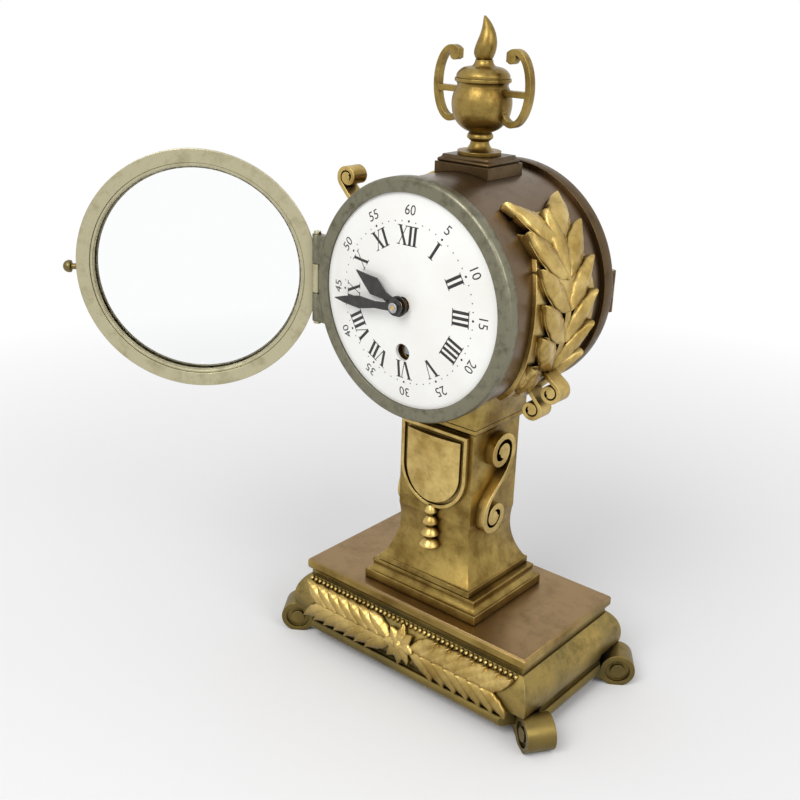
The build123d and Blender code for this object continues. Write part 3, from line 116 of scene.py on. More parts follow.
class ClockFinish(bpy.types.PropertyGroup):
    """Colours of the clock's finishes"""

    # Each dark tone below takes stains and also the painted shade in recesses and near the floor
    gilt_light: colour("Gilt light", "Rubbed high spots of the gilding", (0.40, 0.283, 0.083))
    gilt_mid: colour("Gilt middle", "Body colour of the gilding", (0.172, 0.106, 0.025))
    # Gilt dark: dirt spots, partly patina, and painted shade in recesses and near the floor
    gilt_dark: colour("Gilt dark", "Brown lodged in the gilding's hollows", (0.060, 0.032, 0.006))
    # Lighter copy of the gilding: a painted highlight on ornament that catches the light
    leaf_light: colour("Leaf light", "High spots of the brighter gilt ornament", (0.65, 0.48, 0.175))
    leaf_mid: colour("Leaf middle", "Body colour of the brighter gilt ornament", (0.37, 0.245, 0.065))
    olive_light: colour("Olive light", "Tarnished gilding of frame and feet", (0.17, 0.135, 0.052))
    # Olive dark: dirt spots, and painted shade in recesses and near the floor
    olive_dark: colour("Olive dark", "Dirt on the frame and feet", (0.045, 0.036, 0.013))
    brown_light: colour("Brown light", "Polished brass gone brown, light patches", (0.172, 0.121, 0.076))
    brown_dark: colour("Brown dark", "Polished brass gone brown, dark patches", (0.075, 0.046, 0.022))
    top_light: colour("Plate top light", "Brown lacquer on the base's plate, light", (0.29, 0.19, 0.088))
    # Plate top dark: stains, and painted shade on the plate round the column's plinth
    top_dark: colour("Plate top dark", "Brown lacquer on the base's plate, dark", (0.12, 0.072, 0.030))
    umber_light: colour("Umber light", "Dark brown brass of rear ring and urn block", (0.115, 0.075, 0.036))
    umber_dark: colour("Umber dark", "Darkest brown of rear ring and urn block", (0.042, 0.026, 0.010))
    ring_light: colour("Dial ring light", "Grey green patina of the dial ring", (0.215, 0.205, 0.145))
    ring_dark: colour("Dial ring dark", "Darkest patina of the dial ring", (0.055, 0.045, 0.028))
    bezel_light: colour("Bezel light", "Satin brass of the bezel", (0.50, 0.46, 0.30))
    bezel_dark: colour("Bezel dark", "Green brown tarnish of the bezel", (0.17, 0.145, 0.065))
    plate_light: colour("Movement light", "Lacquered movement brass", (0.66, 0.47, 0.18))
    plate_dark: colour("Movement dark", "Stains on the movement brass", (0.36, 0.23, 0.07))
    steel_light: colour("Steel light", "Ground steel", (0.42, 0.42, 0.43))
    steel_dark: colour("Steel dark", "Stains on the steel", (0.17, 0.16, 0.16))
    enamel: colour("Enamel", "White of the dial", (0.87, 0.87, 0.84))
    enamel_shade: colour("Enamel shade", "Faint warm cloud in the enamel", (0.80, 0.79, 0.74))
    black: colour("Black", "Hands and figures", (0.012, 0.011, 0.010))
    black_shade: colour("Black shade", "Faint cloud on hands and figures", (0.03, 0.028, 0.026))
    glass: colour("Glass", "Tint of the bezel's glass", (0.97, 0.98, 0.98))
    floor: colour("Floor", "Pale studio floor", (0.90, 0.90, 0.91))


class ClockSizes(bpy.types.PropertyGroup):
    """Sizes of the dressed details"""

    edge_round: length("Edge rounding", "Width of the softened metal edges", 0.0004)
    camera_distance: length("Camera distance", "From the camera to the aimed point", 0.4973)
    dial_rise: length("Dial rise", "How far the dial's middle stands before its rim", 0.004)
    dial_radius: length("Dial radius", "Radius of the dial's domed face", 0.0438)
    figure_thickness: length("Figure thickness", "Paint thickness of the dial's figures", 0.00006)
    hour_ring: length("Hour ring", "Radius of the middle of the hour figures", 0.0276)
    hour_height: length("Hour height", "Height of the hour figures", 0.0076)
    minute_ring: length("Minute ring", "Radius of the middle of the minute figures", 0.0373)
    minute_height: length("Minute height", "Type size of the minute figures", 0.0056)
    dot_ring: length("Dot ring", "Radius of the ring of minute dots", 0.0331)
    dot_radius: length("Dot radius", "Radius of a minute dot", 0.00026)
    frieze_rise: length("Frieze rise", "From the frame's underside up to the frieze", 0.0056)
    frieze_height: length("Frieze height", "Height of the bulging frieze", 0.020)
    frieze_foot: length("Frieze foot", "How far the frieze's foot is set back", 0.0026)
    frieze_head: length("Frieze head", "How far the frieze's head is set back", 0.0064)
    frieze_bulge: length("Frieze bulge", "How far the frieze bows out", 0.0034)
    laurel_length: length("Laurel length", "Length of a laurel leaf", 0.0172)
    laurel_width: length("Laurel width", "Width of a laurel leaf", 0.0074)
    laurel_heights: heights("Laurel heights", "a laurel leaf", (0.0008, 0.0015, 0.0018))
    laurel_start: length("Laurel start", "From the frieze's middle to the first laurel leaves", 0.005)
    petal_length: length("Petal length", "Length of a petal of the rosette", 0.0088)
    petal_width: length("Petal width", "Width of a petal of the rosette", 0.0058)
    petal_heights: heights("Petal heights", "a petal", (0.0018, 0.0010, 0.0006))
    boss_radius: length("Boss radius", "Radius of the boss in the rosette", 0.0026)
    boss_rise: length("Boss rise", "From the frieze out to the middle of the boss", 0.0013)
    bead_radius: length("Bead radius", "Radius of a bead of the border", 0.00105)
    bead_rise: length("Bead rise", "From the frieze out to the middle of a bead", 0.0002)
    bead_spacing: length("Bead spacing", "From one bead of the border to the next", 0.0026)
    bead_level: length("Bead level", "From the frieze's middle up to the bead border", 0.0088)
    flank_radius: length("Flank radius", "Radius of the flank mounts' outer face", 0.0505)
    acanthus_length: length("Acanthus length", "Length of a leaf on the drum's flank", 0.0264)
    acanthus_width: length("Acanthus width", "Width of a leaf on the drum's flank", 0.0110)
    acanthus_heights: heights("Acanthus heights", "a flank leaf", (0.0015, 0.0016, 0.0018))
    flank_above: length("Flank above", "From the drum's axis up to the highest flank leaf", 0.0355)
    flank_below: length("Flank below", "From the drum's axis down to the lowest flank leaf", 0.0409)
    flank_even: length("Flank even", "Height from which the flank leaves follow the drum's curve", 0.024)
    flank_tuck: length("Flank tuck", "How far the highest flank leaves are drawn in", 0.0028)
    glass_radius: length("Glass radius", "Radius of the domed part of the glass", 0.0437)
    glass_rise: length("Glass rise", "How far the glass bows out of the bezel", 0.0080)
    glass_thickness: length("Glass thickness", "Thickness of the glass", 0.0015)
    glass_back: length("Glass back", "From the retaining ring's middle to the glass's rim", 0.00085)
    glass_angle: bpy.props.FloatProperty(
        name="Bezel angle", description="How far the bezel stands open",
        default=math.radians(141.0), subtype="ANGLE",
    )
    screw_radius: length("Screw radius", "Radius of the case screws' heads", 0.0027)
    screw_height: length("Screw height", "Height of the case screws' heads", 0.0018)
    shank_radius: length("Shank radius", "Radius of the case screws' shanks", 0.0015)
    bridge_screw_radius: length("Bridge screw radius", "Radius of the platform screws' heads", 0.0014)
    bridge_screw_height: length("Bridge screw height", "Height of the platform screws' heads", 0.0008)
    bridge_shank_radius: length("Bridge shank radius", "Radius of the platform screws' shanks", 0.0007)
    bridge_shank_reach: length("Bridge shank reach", "Length of the platform screws' shanks", 0.0004)
    cock_inset: length("Cock inset", "From the balance cock's sides to its screw", 0.0021)
    bridge_inset: length("Bridge inset", "From the escape bridge's sides to its screw", 0.0019)


# Node helpers

# Room of a node in the editor, across and down, and how many stand in a row
NODE_ROOM = (220, 320)
NODES_IN_ROW = 6


def put(tree, kind, **values):
    """Add a node to a tree and set its attributes."""
    node = tree.nodes.new(kind)
    for key, value in values.items():
        setattr(node, key, value)
    return node


def give(tree, value, socket):
    """Link an input to another socket, or set it to a number."""
    if isinstance(value, float):
        socket.default_value = value
    else:
        tree.links.new(value, socket)


def math_node(tree, operation, first, second):
    """Math node between two sockets or numbers; gives its output socket."""
    node = put(tree, "ShaderNodeMath", operation=operation)
    give(tree, first, node.inputs[0])
    give(tree, second, node.inputs[1])
    return node.outputs[0]


def colour_mix(tree, factor, first, second):
    """Colour mix of two sockets; gives its output socket."""
    node = put(tree, "ShaderNodeMix", data_type="RGBA")
    give(tree, factor, node.inputs["Factor"])
    colours = [socket for socket in node.inputs if socket.type == "RGBA"]
    for socket, value in zip(colours, (first, second)):
        give(tree, value, socket)
    return next(socket for socket in node.outputs if socket.type == "RGBA")


def ramp(tree, factor, span, tones):
    """Ramp of a socket over a span from one tone to another, greys or colours; gives its output socket."""
    node = put(tree, "ShaderNodeValToRGB")
    for element, position, tone in zip(node.color_ramp.elements, span, tones):
        element.position = position
        element.color = (tone, tone, tone, 1.0) if isinstance(tone, float) else (*tone, 1.0)
    give(tree, factor, node.inputs["Fac"])
    return node.outputs["Color"]


def map_range(tree, value, span, ends):
    """Read a socket over a span as values between two ends, numbers or sockets; gives its output socket."""
    node = put(tree, "ShaderNodeMapRange")
    for label, limit in zip(("From Min", "From Max", "To Min", "To Max"), (*span, *ends)):
        give(tree, limit, node.inputs[label])
    give(tree, value, node.inputs["Value"])
    return node.outputs["Result"]


def object_place(tree):
    """Socket of the piece's own coordinates."""
    return put(tree, "ShaderNodeTexCoord").outputs["Object"]


def noise(tree, place, scale, detail, roughness=0.5):
    """Noise over a place, its scale a number or a socket; gives its output socket."""
    node = put(tree, "ShaderNodeTexNoise")
    give(tree, place, node.inputs["Vector"])
    give(tree, scale, node.inputs["Scale"])
    give(tree, detail, node.inputs["Detail"])
    give(tree, roughness, node.inputs["Roughness"])
    return node.outputs["Fac"]


def lay_out(tree):
    """Spread a tree's nodes in rows in the editor, in the order in which they were added."""
    across, down = NODE_ROOM
    for index, node in enumerate(tree.nodes):
        row, column = divmod(index, NODES_IN_ROW)
        node.location = (column * across, -row * down)


def new_finish(name):
    """Node material, given with its node tree and its shader."""
    finish = bpy.data.materials.new(name)
    finish.use_nodes = True
    return finish, finish.node_tree, finish.node_tree.nodes["Principled BSDF"]


def new_group(name, inputs, outputs):
    """Shader node group with its sockets, given with the sockets inside it."""
    group = bpy.data.node_groups.new(name, "ShaderNodeTree")
    for direction, sockets in (("INPUT", inputs), ("OUTPUT", outputs)):
        for label, kind in sockets.items():
            group.interface.new_socket(label, in_out=direction, socket_type=kind)
    given = put(group, "NodeGroupInput")
    made = put(group, "NodeGroupOutput")
    return group, given.outputs, made.inputs


# Finishes

# Inputs of the patina and painted shade: its tones and its values
PATINA_TONES = ("Light", "Middle", "Dark")
PATINA_VALUES = (
    "Cloud Scale", "Grain Scale", "Grain", "Darkness", "Hollows", "Wear",
    "Smooth", "Rough", "Grime", "Reach",
)

# Patina and shade values of a finish that names none of its own: painted shade low down, and the reach in
# metres of the painted shade in recesses
PATINA_DEFAULTS = {"grime": 0.0, "reach": 0.007}

# Spans of noise, of shape and of height in metres over which a finish turns from one end to the other
CLOUD_SPAN = (0.36, 0.64)
SPOT_SPAN = (0.48, 0.70)
GLOSS_SPAN = (0.3, 0.7)
# Span of the occlusion over which the painted shade in recesses fades in
HOLLOW_SPAN = (0.25, 0.85)
EDGE_SPAN = (0.86, 0.99)
# Height span in metres over which the painted shade near the floor fades out
LOW_SHADE_SPAN = (0.013, 0.024)
TOP_FACE_SPAN = (0.45, 0.80)
PAINT_SPAN = (0.4, 0.7)
SMEAR_SPAN = (0.45, 0.8)

# How much finer than the clouds the spots of dirt are
SPOT_FINENESS = 3.4

# Radius of a rubbed edge and depth of the cast grain in metres
RUBBED_RADIUS = 0.0005
GRAIN_DEPTH = 0.0002

# Glass: how it bends light, the scale of its smears, and its roughness where clean and where smeared
GLASS_IOR = 1.46
SMEAR_SCALE = 45.0
GLASS_POLISH = (0.005, 0.06)

# Rounding: reach of the two welds in metres, and the angle in degrees past which an edge is sharp
WELD_REACH = 0.00001
SLIVER_REACH = 0.000002
SHARP_ANGLE = 40.0


def masks_from_shape(tree, reach):
    """Masks of painted shade in the piece's recesses within reach and of its edges, and a normal that rounds
    the edges.
    """
    # Occlusion within reach gives the painted shade in recesses
    hollow = put(tree, "ShaderNodeAmbientOcclusion", samples=8)
    give(tree, reach, hollow.inputs["Distance"])
    deep = ramp(tree, hollow.outputs["AO"], HOLLOW_SPAN, (1.0, 0.0))
    rounded = put(tree, "ShaderNodeBevel", samples=6)
    give(tree, RUBBED_RADIUS, rounded.inputs["Radius"])
    true = put(tree, "ShaderNodeNewGeometry")
    turn = put(tree, "ShaderNodeVectorMath", operation="DOT_PRODUCT")
    give(tree, rounded.outputs["Normal"], turn.inputs[0])
    give(tree, true.outputs["Normal"], turn.inputs[1])
    edge = ramp(tree, turn.outputs["Value"], EDGE_SPAN, (1.0, 0.0))
    return deep, edge, rounded.outputs["Normal"]


def patina_group():
    """Old metal with painted shade: cloudy tones, dirt spots, painted shade in recesses (partly patina) and
    low down, rubbed edges, uneven gloss, a cast grain.
    """
    tones = dict.fromkeys(PATINA_TONES, "NodeSocketColor")
    values = dict.fromkeys(PATINA_VALUES, "NodeSocketFloat")
    results = {"Colour": "NodeSocketColor", "Roughness": "NodeSocketFloat", "Normal": "NodeSocketVector"}
    group, given, made = new_group("old_metal_patina_and_shade", {**tones, **values}, results)
    place = object_place(group)
    spot_scale = math_node(group, "MULTIPLY", given["Cloud Scale"], SPOT_FINENESS)
    cloud = noise(group, place, given["Cloud Scale"], detail=6.0, roughness=0.62)
    grain = noise(group, place, given["Grain Scale"], detail=4.0)
    dirt = noise(group, place, spot_scale, detail=8.0, roughness=0.7)
    deep, edge, rounded = masks_from_shape(group, given["Reach"])
    spread = ramp(group, cloud, CLOUD_SPAN, (0.0, 1.0))
    body = colour_mix(group, spread, given["Middle"], given["Light"])
    spots = ramp(group, dirt, SPOT_SPAN, (0.0, 1.0))
    stain = math_node(group, "MULTIPLY", spots, given["Darkness"])
    # Darkening in recesses from occlusion: painted shade, partly patina
    lodged = math_node(group, "MULTIPLY", deep, given["Hollows"])
    dark = math_node(group, "MAXIMUM", stain, lodged)
    # Painted shade near the floor: darker towards the bottom
    level = put(group, "ShaderNodeSeparateXYZ")
    give(group, place, level.inputs["Vector"])
    low = map_range(group, level.outputs["Z"], LOW_SHADE_SPAN, (1.0, 0.0))
    grime = math_node(group, "MULTIPLY", low, given["Grime"])
    dark = math_node(group, "MAXIMUM", dark, grime)
    stained_and_shaded = colour_mix(group, dark, body, given["Dark"])
    rubbed = math_node(group, "MULTIPLY", edge, given["Wear"])
    bare = math_node(group, "SUBTRACT", rubbed, lodged)
    bare = math_node(group, "MAXIMUM", bare, 0.0)
    give(group, colour_mix(group, bare, stained_and_shaded, given["Light"]), made["Colour"])
    gloss = map_range(group, dirt, GLOSS_SPAN, (given["Smooth"], given["Rough"]))
    give(group, gloss, made["Roughness"])
    relief = put(group, "ShaderNodeBump")
    give(group, GRAIN_DEPTH, relief.inputs["Distance"])
    give(group, given["Grain"], relief.inputs["Strength"])
    give(group, grain, relief.inputs["Height"])
    give(group, rounded, relief.inputs["Normal"])
    give(group, relief.outputs["Normal"], made["Normal"])
    lay_out(group)
    return group


def patina_node(tree, group, tones, values):
    """Patina group set to its light, middle and dark tones and its other values."""
    patina = put(tree, "ShaderNodeGroup", node_tree=group)
    for label, tone in zip(PATINA_TONES, tones):
        patina.inputs[label].default_value = (*tone, 1.0)
    for label, value in {**PATINA_DEFAULTS, **values}.items():
        patina.inputs[label.replace("_", " ").title()].default_value = value
    return patina


def metal(name, group, tones, **values):
    """Metal finish from the patina group in its light, middle and dark tones."""
    finish, tree, shader = new_finish(name)
    shader.inputs["Metallic"].default_value = 1.0
    patina = patina_node(tree, group, tones, values)
    give(tree, patina.outputs["Colour"], shader.inputs["Base Color"])
    give(tree, patina.outputs["Roughness"], shader.inputs["Roughness"])
    give(tree, patina.outputs["Normal"], shader.inputs["Normal"])
    lay_out(tree)
    return finish


def edged_metal(name, group, top, side, **values):
    """Metal finish with one set of tones on faces that look up and another on the rest."""
    finish = metal(name, group, top, **values)
    tree = finish.node_tree
    upper = next(node for node in tree.nodes if node.type == "GROUP")
    lower = patina_node(tree, group, side, values)
    facing = put(tree, "ShaderNodeNewGeometry")
    parts = put(tree, "ShaderNodeSeparateXYZ")
    give(tree, facing.outputs["Normal"], parts.inputs["Vector"])
    share = ramp(tree, parts.outputs["Z"], TOP_FACE_SPAN, (1.0, 0.0))
    mixed = colour_mix(tree, share, upper.outputs["Colour"], lower.outputs["Colour"])
    give(tree, mixed, tree.nodes["Principled BSDF"].inputs["Base Color"])
    lay_out(tree)
    return finish


def plain_paint(name, tone, shade, scale, roughness):
    """Paint or enamel with a faint cloud of a second tone."""
    finish, tree, shader = new_finish(name)
    cloud = noise(tree, object_place(tree), scale, detail=5.0)
    give(tree, ramp(tree, cloud, PAINT_SPAN, (tone, shade)), shader.inputs["Base Color"])
    shader.inputs["Roughness"].default_value = roughness
    lay_out(tree)
    return finish


def glass_finish(name, tint):
    """Clear glass with faint smears in its polish."""
    finish, tree, shader = new_finish(name)
    shader.inputs["Base Color"].default_value = (*tint, 1.0)
    shader.inputs["Transmission Weight"].default_value = 1.0
    shader.inputs["IOR"].default_value = GLASS_IOR
    smear = noise(tree, object_place(tree), SMEAR_SCALE, detail=6.0)
    give(tree, ramp(tree, smear, SMEAR_SPAN, GLASS_POLISH), shader.inputs["Roughness"])
    lay_out(tree)
    return finish


def make_finishes():
    """All finishes by name."""
    tones = bpy.context.scene.clock_finish
    group = patina_group()
    gilt = (tones.gilt_light, tones.gilt_mid, tones.gilt_dark)
    made = {}
    # The hollow values weight the painted shade in recesses; the values for low down weight the painted shade
    # near the floor
    made["gilt"] = metal(
        "worn_gilding", group, gilt,
        cloud_scale=55.0, grain_scale=1400.0, grain=0.2, darkness=0.45, hollows=1.0, wear=0.8,
        smooth=0.24, rough=0.48, grime=0.7,
    )
    # Lighter copy of the gilding: a painted highlight for the ornament
    made["leaf"] = metal(
        "highlit_gilt_ornament", group, (tones.leaf_light, tones.leaf_mid, tones.gilt_dark),
        cloud_scale=70.0, grain_scale=1400.0, grain=0.15, darkness=0.3, hollows=1.0, wear=0.8,
        smooth=0.24, rough=0.45, grime=0.7,
    )
    made["olive"] = metal(
        "tarnished_gilding", group, (tones.gilt_light, tones.olive_light, tones.olive_dark),
        cloud_scale=30.0, grain_scale=1400.0, grain=0.2, darkness=0.6, hollows=0.95, wear=0.4,
        smooth=0.3, rough=0.55, grime=0.5,
    )
    # The plate's long reach spreads painted shade over the plate round the column's plinth
    made["plate"] = edged_metal(
        "brown_plate_with_gilt_sides", group, (tones.top_light, tones.top_light, tones.top_dark), gilt,
        cloud_scale=26.0, grain_scale=1800.0, grain=0.06, darkness=0.4, hollows=0.9, wear=0.3,
        smooth=0.26, rough=0.42, reach=0.035,
    )
    made["brown"] = metal(
        "brown_polished_brass", group, (tones.brown_light, tones.brown_light, tones.brown_dark),
        cloud_scale=26.0, grain_scale=1800.0, grain=0.06, darkness=0.35, hollows=0.8, wear=0.3,
        smooth=0.24, rough=0.4,
    )
    made["umber"] = metal(
        "umber_brass", group, (tones.umber_light, tones.umber_light, tones.umber_dark),
        cloud_scale=40.0, grain_scale=1800.0, grain=0.08, darkness=0.6, hollows=0.8, wear=0.4,
        smooth=0.26, rough=0.46,
    )
    made["ring"] = metal(
        "dark_dial_ring", group, (tones.ring_light, tones.ring_light, tones.ring_dark),
        cloud_scale=60.0, grain_scale=1500.0, grain=0.12, darkness=0.6, hollows=0.7, wear=0.5,
        smooth=0.3, rough=0.5,
    )
    made["bezel"] = metal(
        "satin_bezel_brass", group, (tones.bezel_light, tones.bezel_light, tones.bezel_dark),
        cloud_scale=45.0, grain_scale=1700.0, grain=0.08, darkness=0.45, hollows=0.7, wear=0.4,
        smooth=0.22, rough=0.42,
    )
    made["movement"] = metal(
        "lacquered_movement_brass", group, (tones.plate_light, tones.plate_light, tones.plate_dark),
        cloud_scale=50.0, grain_scale=2200.0, grain=0.05, darkness=0.35, hollows=0.6, wear=0.3,
        smooth=0.2, rough=0.36,
    )
    made["steel"] = metal(
        "ground_steel", group, (tones.steel_light, tones.steel_light, tones.steel_dark),
        cloud_scale=70.0, grain_scale=2500.0, grain=0.05, darkness=0.4, hollows=0.6, wear=0.3,
        smooth=0.22, rough=0.4,
    )
    made["enamel"] = plain_paint("white_enamel", tones.enamel, tones.enamel_shade, scale=28.0, roughness=0.12)
    made["black"] = plain_paint("satin_black", tones.black, tones.black_shade, scale=300.0, roughness=0.35)
    made["glass"] = glass_finish("bezel_clear_glass", tones.glass)
    return made


# Finishes by name, filled by the first operator
finishes = {}


def dress(names, finish):
    """Give carried over pieces a finish."""
    for name in names:
        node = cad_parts[name]
        node.data.materials.clear()
        node.data.materials.append(finishes[finish])


def soften(names):
    """Round the sharp edges of carried over pieces with live modifiers."""
    for name in names:
        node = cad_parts[name]
        weld = node.modifiers.new("closed_surface", "WELD")
        weld.merge_threshold = WELD_REACH
        rounding = node.modifiers.new("softened_edges", "BEVEL")
        rounding.width = bpy.context.scene.clock_sizes.edge_round
        rounding.segments = 2
        rounding.limit_method = "ANGLE"
        rounding.angle_limit = math.radians(SHARP_ANGLE)
        rounding.harden_normals = True
        slivers = node.modifiers.new("slivers_closed", "WELD")
        slivers.merge_threshold = SLIVER_REACH


class CLOCK_OT_finish_metal(bpy.types.Operator):
    """Give every carried over piece its finish"""

    bl_idname = "clock.finish_metal"
    bl_label = "Finish the pieces"

    def execute(self, context):
        finishes.update(make_finishes())
        for finish, names in DRESSED_NODES.items():
            dress(names, finish)
        soften(SOFTENED_NODES)
        return {"FINISHED"}


# Modelling helpers

# Distance in metres under which two places count as one
TINY = 1e-6


def deselect():
    """Leave edit mode and select nothing."""
    active = bpy.context.object
    if active and active.mode != "OBJECT":
        bpy.ops.object.mode_set(mode="OBJECT")
    bpy.ops.object.select_all(action="DESELECT")


def choose(piece):
    """Select one piece alone and make it active."""
    deselect()
    piece.select_set(True)
    bpy.context.view_layer.objects.active = piece


def edit(piece):
    """Open one piece in edit mode with nothing selected."""
    choose(piece)
    bpy.ops.object.mode_set(mode="EDIT")
    bpy.ops.mesh.select_mode(type="VERT")
    bpy.ops.mesh.select_all(action="DESELECT")


def pick(piece, test):
    """In edit mode, select the vertices whose place passes the test."""
    bpy.ops.object.mode_set(mode="OBJECT")
    mesh = piece.data
    for part in (*mesh.polygons, *mesh.edges):
        part.select = False
    for vertex in mesh.vertices:
        vertex.select = bool(test(vertex.co))
    bpy.ops.object.mode_set(mode="EDIT")


def apply_place():
    """Put the place, turn and scale of what is selected into its mesh."""
    bpy.ops.object.transform_apply(location=True, rotation=True, scale=True)


def copy_to(model, place):
    """Copy of a model, with its own mesh, moved and turned by a matrix."""
    choose(model)
    bpy.ops.object.duplicate()
    made = bpy.context.object
    made.matrix_world = place
    apply_place()
    return made


def joined(name, pieces):
    """Join pieces into one."""
    deselect()
    for piece in pieces:
        piece.select_set(True)
    bpy.context.view_layer.objects.active = pieces[0]
    bpy.ops.object.join()
    made = bpy.context.object
    made.name = name
    made.data.name = name
    return made


def drop(*models):
    """Remove models that were only there to be copied or to cut."""
    for model in models:
        bpy.data.objects.remove(model, do_unlink=True)


def drape(piece, surface):
    """Lay a piece drawn flat, with its rise along z, on a surface that gives a point and a normal."""
    for vertex in piece.data.vertices:
        along, up, rise = vertex.co
        point, normal = surface(along, up)
        vertex.co = point + normal * rise
    piece.data.update()


def settle(piece, body, finish, smooth=35):
    """Give a finished piece its shading, finish and body; edges past the smooth angle stay sharp."""
    choose(piece)
    bpy.ops.object.shade_smooth_by_angle(angle=math.radians(smooth))
    piece.data.materials.clear()
    piece.data.materials.append(finishes[finish])
    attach(piece, body)


def flat(along, up, turn=0.0):
    """Place in the flat drawing plane, turned anticlockwise by degrees."""
    return Matrix.Translation((along, up, 0.0)) @ Matrix.Rotation(math.radians(turn), 4, "Z")


def thicken(piece, thickness):
    """Pull a drawing, flat or bowed, up or down into a thin closed body."""
    edit(piece)
    bpy.ops.mesh.select_all(action="SELECT")
    bpy.ops.mesh.extrude_region_move(TRANSFORM_OT_translate={"value": (0.0, 0.0, thickness)})
    bpy.ops.mesh.select_all(action="SELECT")
    bpy.ops.mesh.normals_make_consistent(inside=False)
    bpy.ops.object.mode_set(mode="OBJECT")


# Dial figures

# Letters as shares of their height: strokes, serifs, room, and each bar's offset, lean and width
THICK_STROKE = 0.17
THIN_STROKE = 0.05
SERIF_HEIGHT = 0.045
SERIF_OVERHANG = 0.16
LETTER_ROOM = {"I": 0.31, "V": 0.62, "X": 0.70}
LETTER_BARS = {
    "I": [(0.0, 0.0, THICK_STROKE)],
    "V": [(-0.13, -0.13, THICK_STROKE), (0.16, 0.13, THIN_STROKE)],
    "X": [(0.0, -0.23, THICK_STROKE), (0.0, 0.23, THIN_STROKE)],
}
HOURS = ["I", "II", "III", "IIII", "V", "VI", "VII", "VIII", "IX", "X", "XI", "XII"]

# Degrees of an hour and a minute, and how much larger each fifth dot is
HOUR_STEP = 30.0
MINUTE_STEP = 6.0
FIFTH_DOT_GROWTH = 1.9


def stroke(height, width, lean):
    """Upright bar whose top is shifted sideways by its lean, and its foot the other way."""
    deselect()
    bpy.ops.mesh.primitive_plane_add(size=1.0)
    made = bpy.context.object
    made.scale = (width, height, 1.0)
    apply_place()
    edit(made)
    pick(made, lambda spot: spot.y > 0)
    bpy.ops.transform.translate(value=(lean, 0.0, 0.0))
    pick(made, lambda spot: spot.y < 0)
    bpy.ops.transform.translate(value=(-lean, 0.0, 0.0))
    bpy.ops.object.mode_set(mode="OBJECT")
    return made


def roman_letter(name, height):
    """One of the letters I, V and X with thick and thin strokes and hair serifs."""
    serif = height * SERIF_HEIGHT
    pieces = []
    for offset, lean, share in LETTER_BARS[name]:
        width = height * share
        bar = stroke(height, width, lean * height)
        pieces.append(copy_to(bar, flat(offset * height, 0.0)))
        drop(bar)
        for end in (-1, 1):
            if name == "V" and end < 0:
                continue
            line = stroke(serif, width + height * SERIF_OVERHANG, 0.0)
            spot = (offset + end * lean) * height
            pieces.append(copy_to(line, flat(spot, end * (height - serif) / 2)))
            drop(line)
    return joined("hour_letter_" + name, pieces)


def hour_figures(sizes):
    """Twelve Roman hours, feet towards the dial's middle."""
    letters = {name: roman_letter(name, sizes.hour_height) for name in "IVX"}
    pieces = []
    for number, word in enumerate(HOURS, start=1):
        turn = flat(0.0, 0.0, -HOUR_STEP * number)
        spot = -sum(LETTER_ROOM[letter] for letter in word) / 2
        for letter in word:
            spot += LETTER_ROOM[letter] / 2
            place = turn @ flat(spot * sizes.hour_height, sizes.hour_ring)
            pieces.append(copy_to(letters[letter], place))
            spot += LETTER_ROOM[letter] / 2
    drop(*letters.values())
    return pieces


def minute_figures(sizes):
    """Minutes in fives round the rim, as text turned into meshes."""
    pieces = []
    for number in range(5, 65, 5):
        deselect()
        bpy.ops.object.text_add()
        words = bpy.context.object
        words.data.body = str(number)
        words.data.size = sizes.minute_height
        words.data.align_x = "CENTER"
        words.data.align_y = "CENTER"
        words.data.resolution_u = 4
        bpy.ops.object.convert(target="MESH")
        made = bpy.context.object
        made.matrix_world = flat(0.0, 0.0, -MINUTE_STEP * number) @ flat(0.0, sizes.minute_ring)
        apply_place()
        pieces.append(made)
    return pieces


def minute_dots(sizes):
    """Sixty small dots, each fifth one larger."""
    deselect()
    bpy.ops.mesh.primitive_circle_add(vertices=10, radius=sizes.dot_radius, fill_type="NGON")
    dot = bpy.context.object
    pieces = []
    for number in range(60):
        grow = 1.0 if number % 5 else FIFTH_DOT_GROWTH
        place = flat(0.0, 0.0, -MINUTE_STEP * number) @ flat(0.0, sizes.dot_ring) @ Matrix.Scale(grow, 4)
        pieces.append(copy_to(dot, place))
    drop(dot)
    return pieces


def dial_dome():
    """Surface of the dial's face."""
    sizes = bpy.context.scene.clock_sizes
    low, high = (Vector(corner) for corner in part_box("dial"))
    ball = (sizes.dial_radius ** 2 + sizes.dial_rise ** 2) / (2 * sizes.dial_rise)
    middle = Vector(((low.x + high.x) / 2, low.y + ball, (low.z + high.z) / 2))

    def surface(along, up):
        depth = math.sqrt(ball ** 2 - along ** 2 - up ** 2)
        normal = Vector((along, -depth, up)) / ball
        return middle + normal * ball, normal

    return surface


class CLOCK_OT_dial_figures(bpy.types.Operator):
    """Hour and minute figures and minute dots on the dial"""

    bl_idname = "clock.dial_figures"
    bl_label = "Paint the dial's figures"

    def execute(self, context):
        sizes = context.scene.clock_sizes
        pieces = hour_figures(sizes) + minute_figures(sizes) + minute_dots(sizes)
        figures = joined("dial_figures", pieces)
        thicken(figures, sizes.figure_thickness)
        drape(figures, dial_dome())
        settle(figures, "case", "black")
        return {"FINISHED"}


# Leaves

# Grid of a leaf
LEAF_COLUMNS = 12
LEAF_ROWS = 4

# Outline of a leaf as shares: least width, place and fullness of its swell, notches in its edge
LEAF_LEAST = 0.03
LEAF_SWELL = 0.85
LEAF_FULLNESS = 0.75
LEAF_NOTCH = 0.86

# Relief of a leaf: a vein as a share of the midrib, and the depth of its body as a share of its edge
LEAF_VEIN = 0.3
LEAF_DEPTH = 1.4

# Frieze: pairs of laurel leaves on each side, their lean in degrees, petals, beads on each side
LAUREL_PAIRS = 7
LAUREL_LEAN = 27
PETALS = 8
BEADS_EACH_SIDE = 23

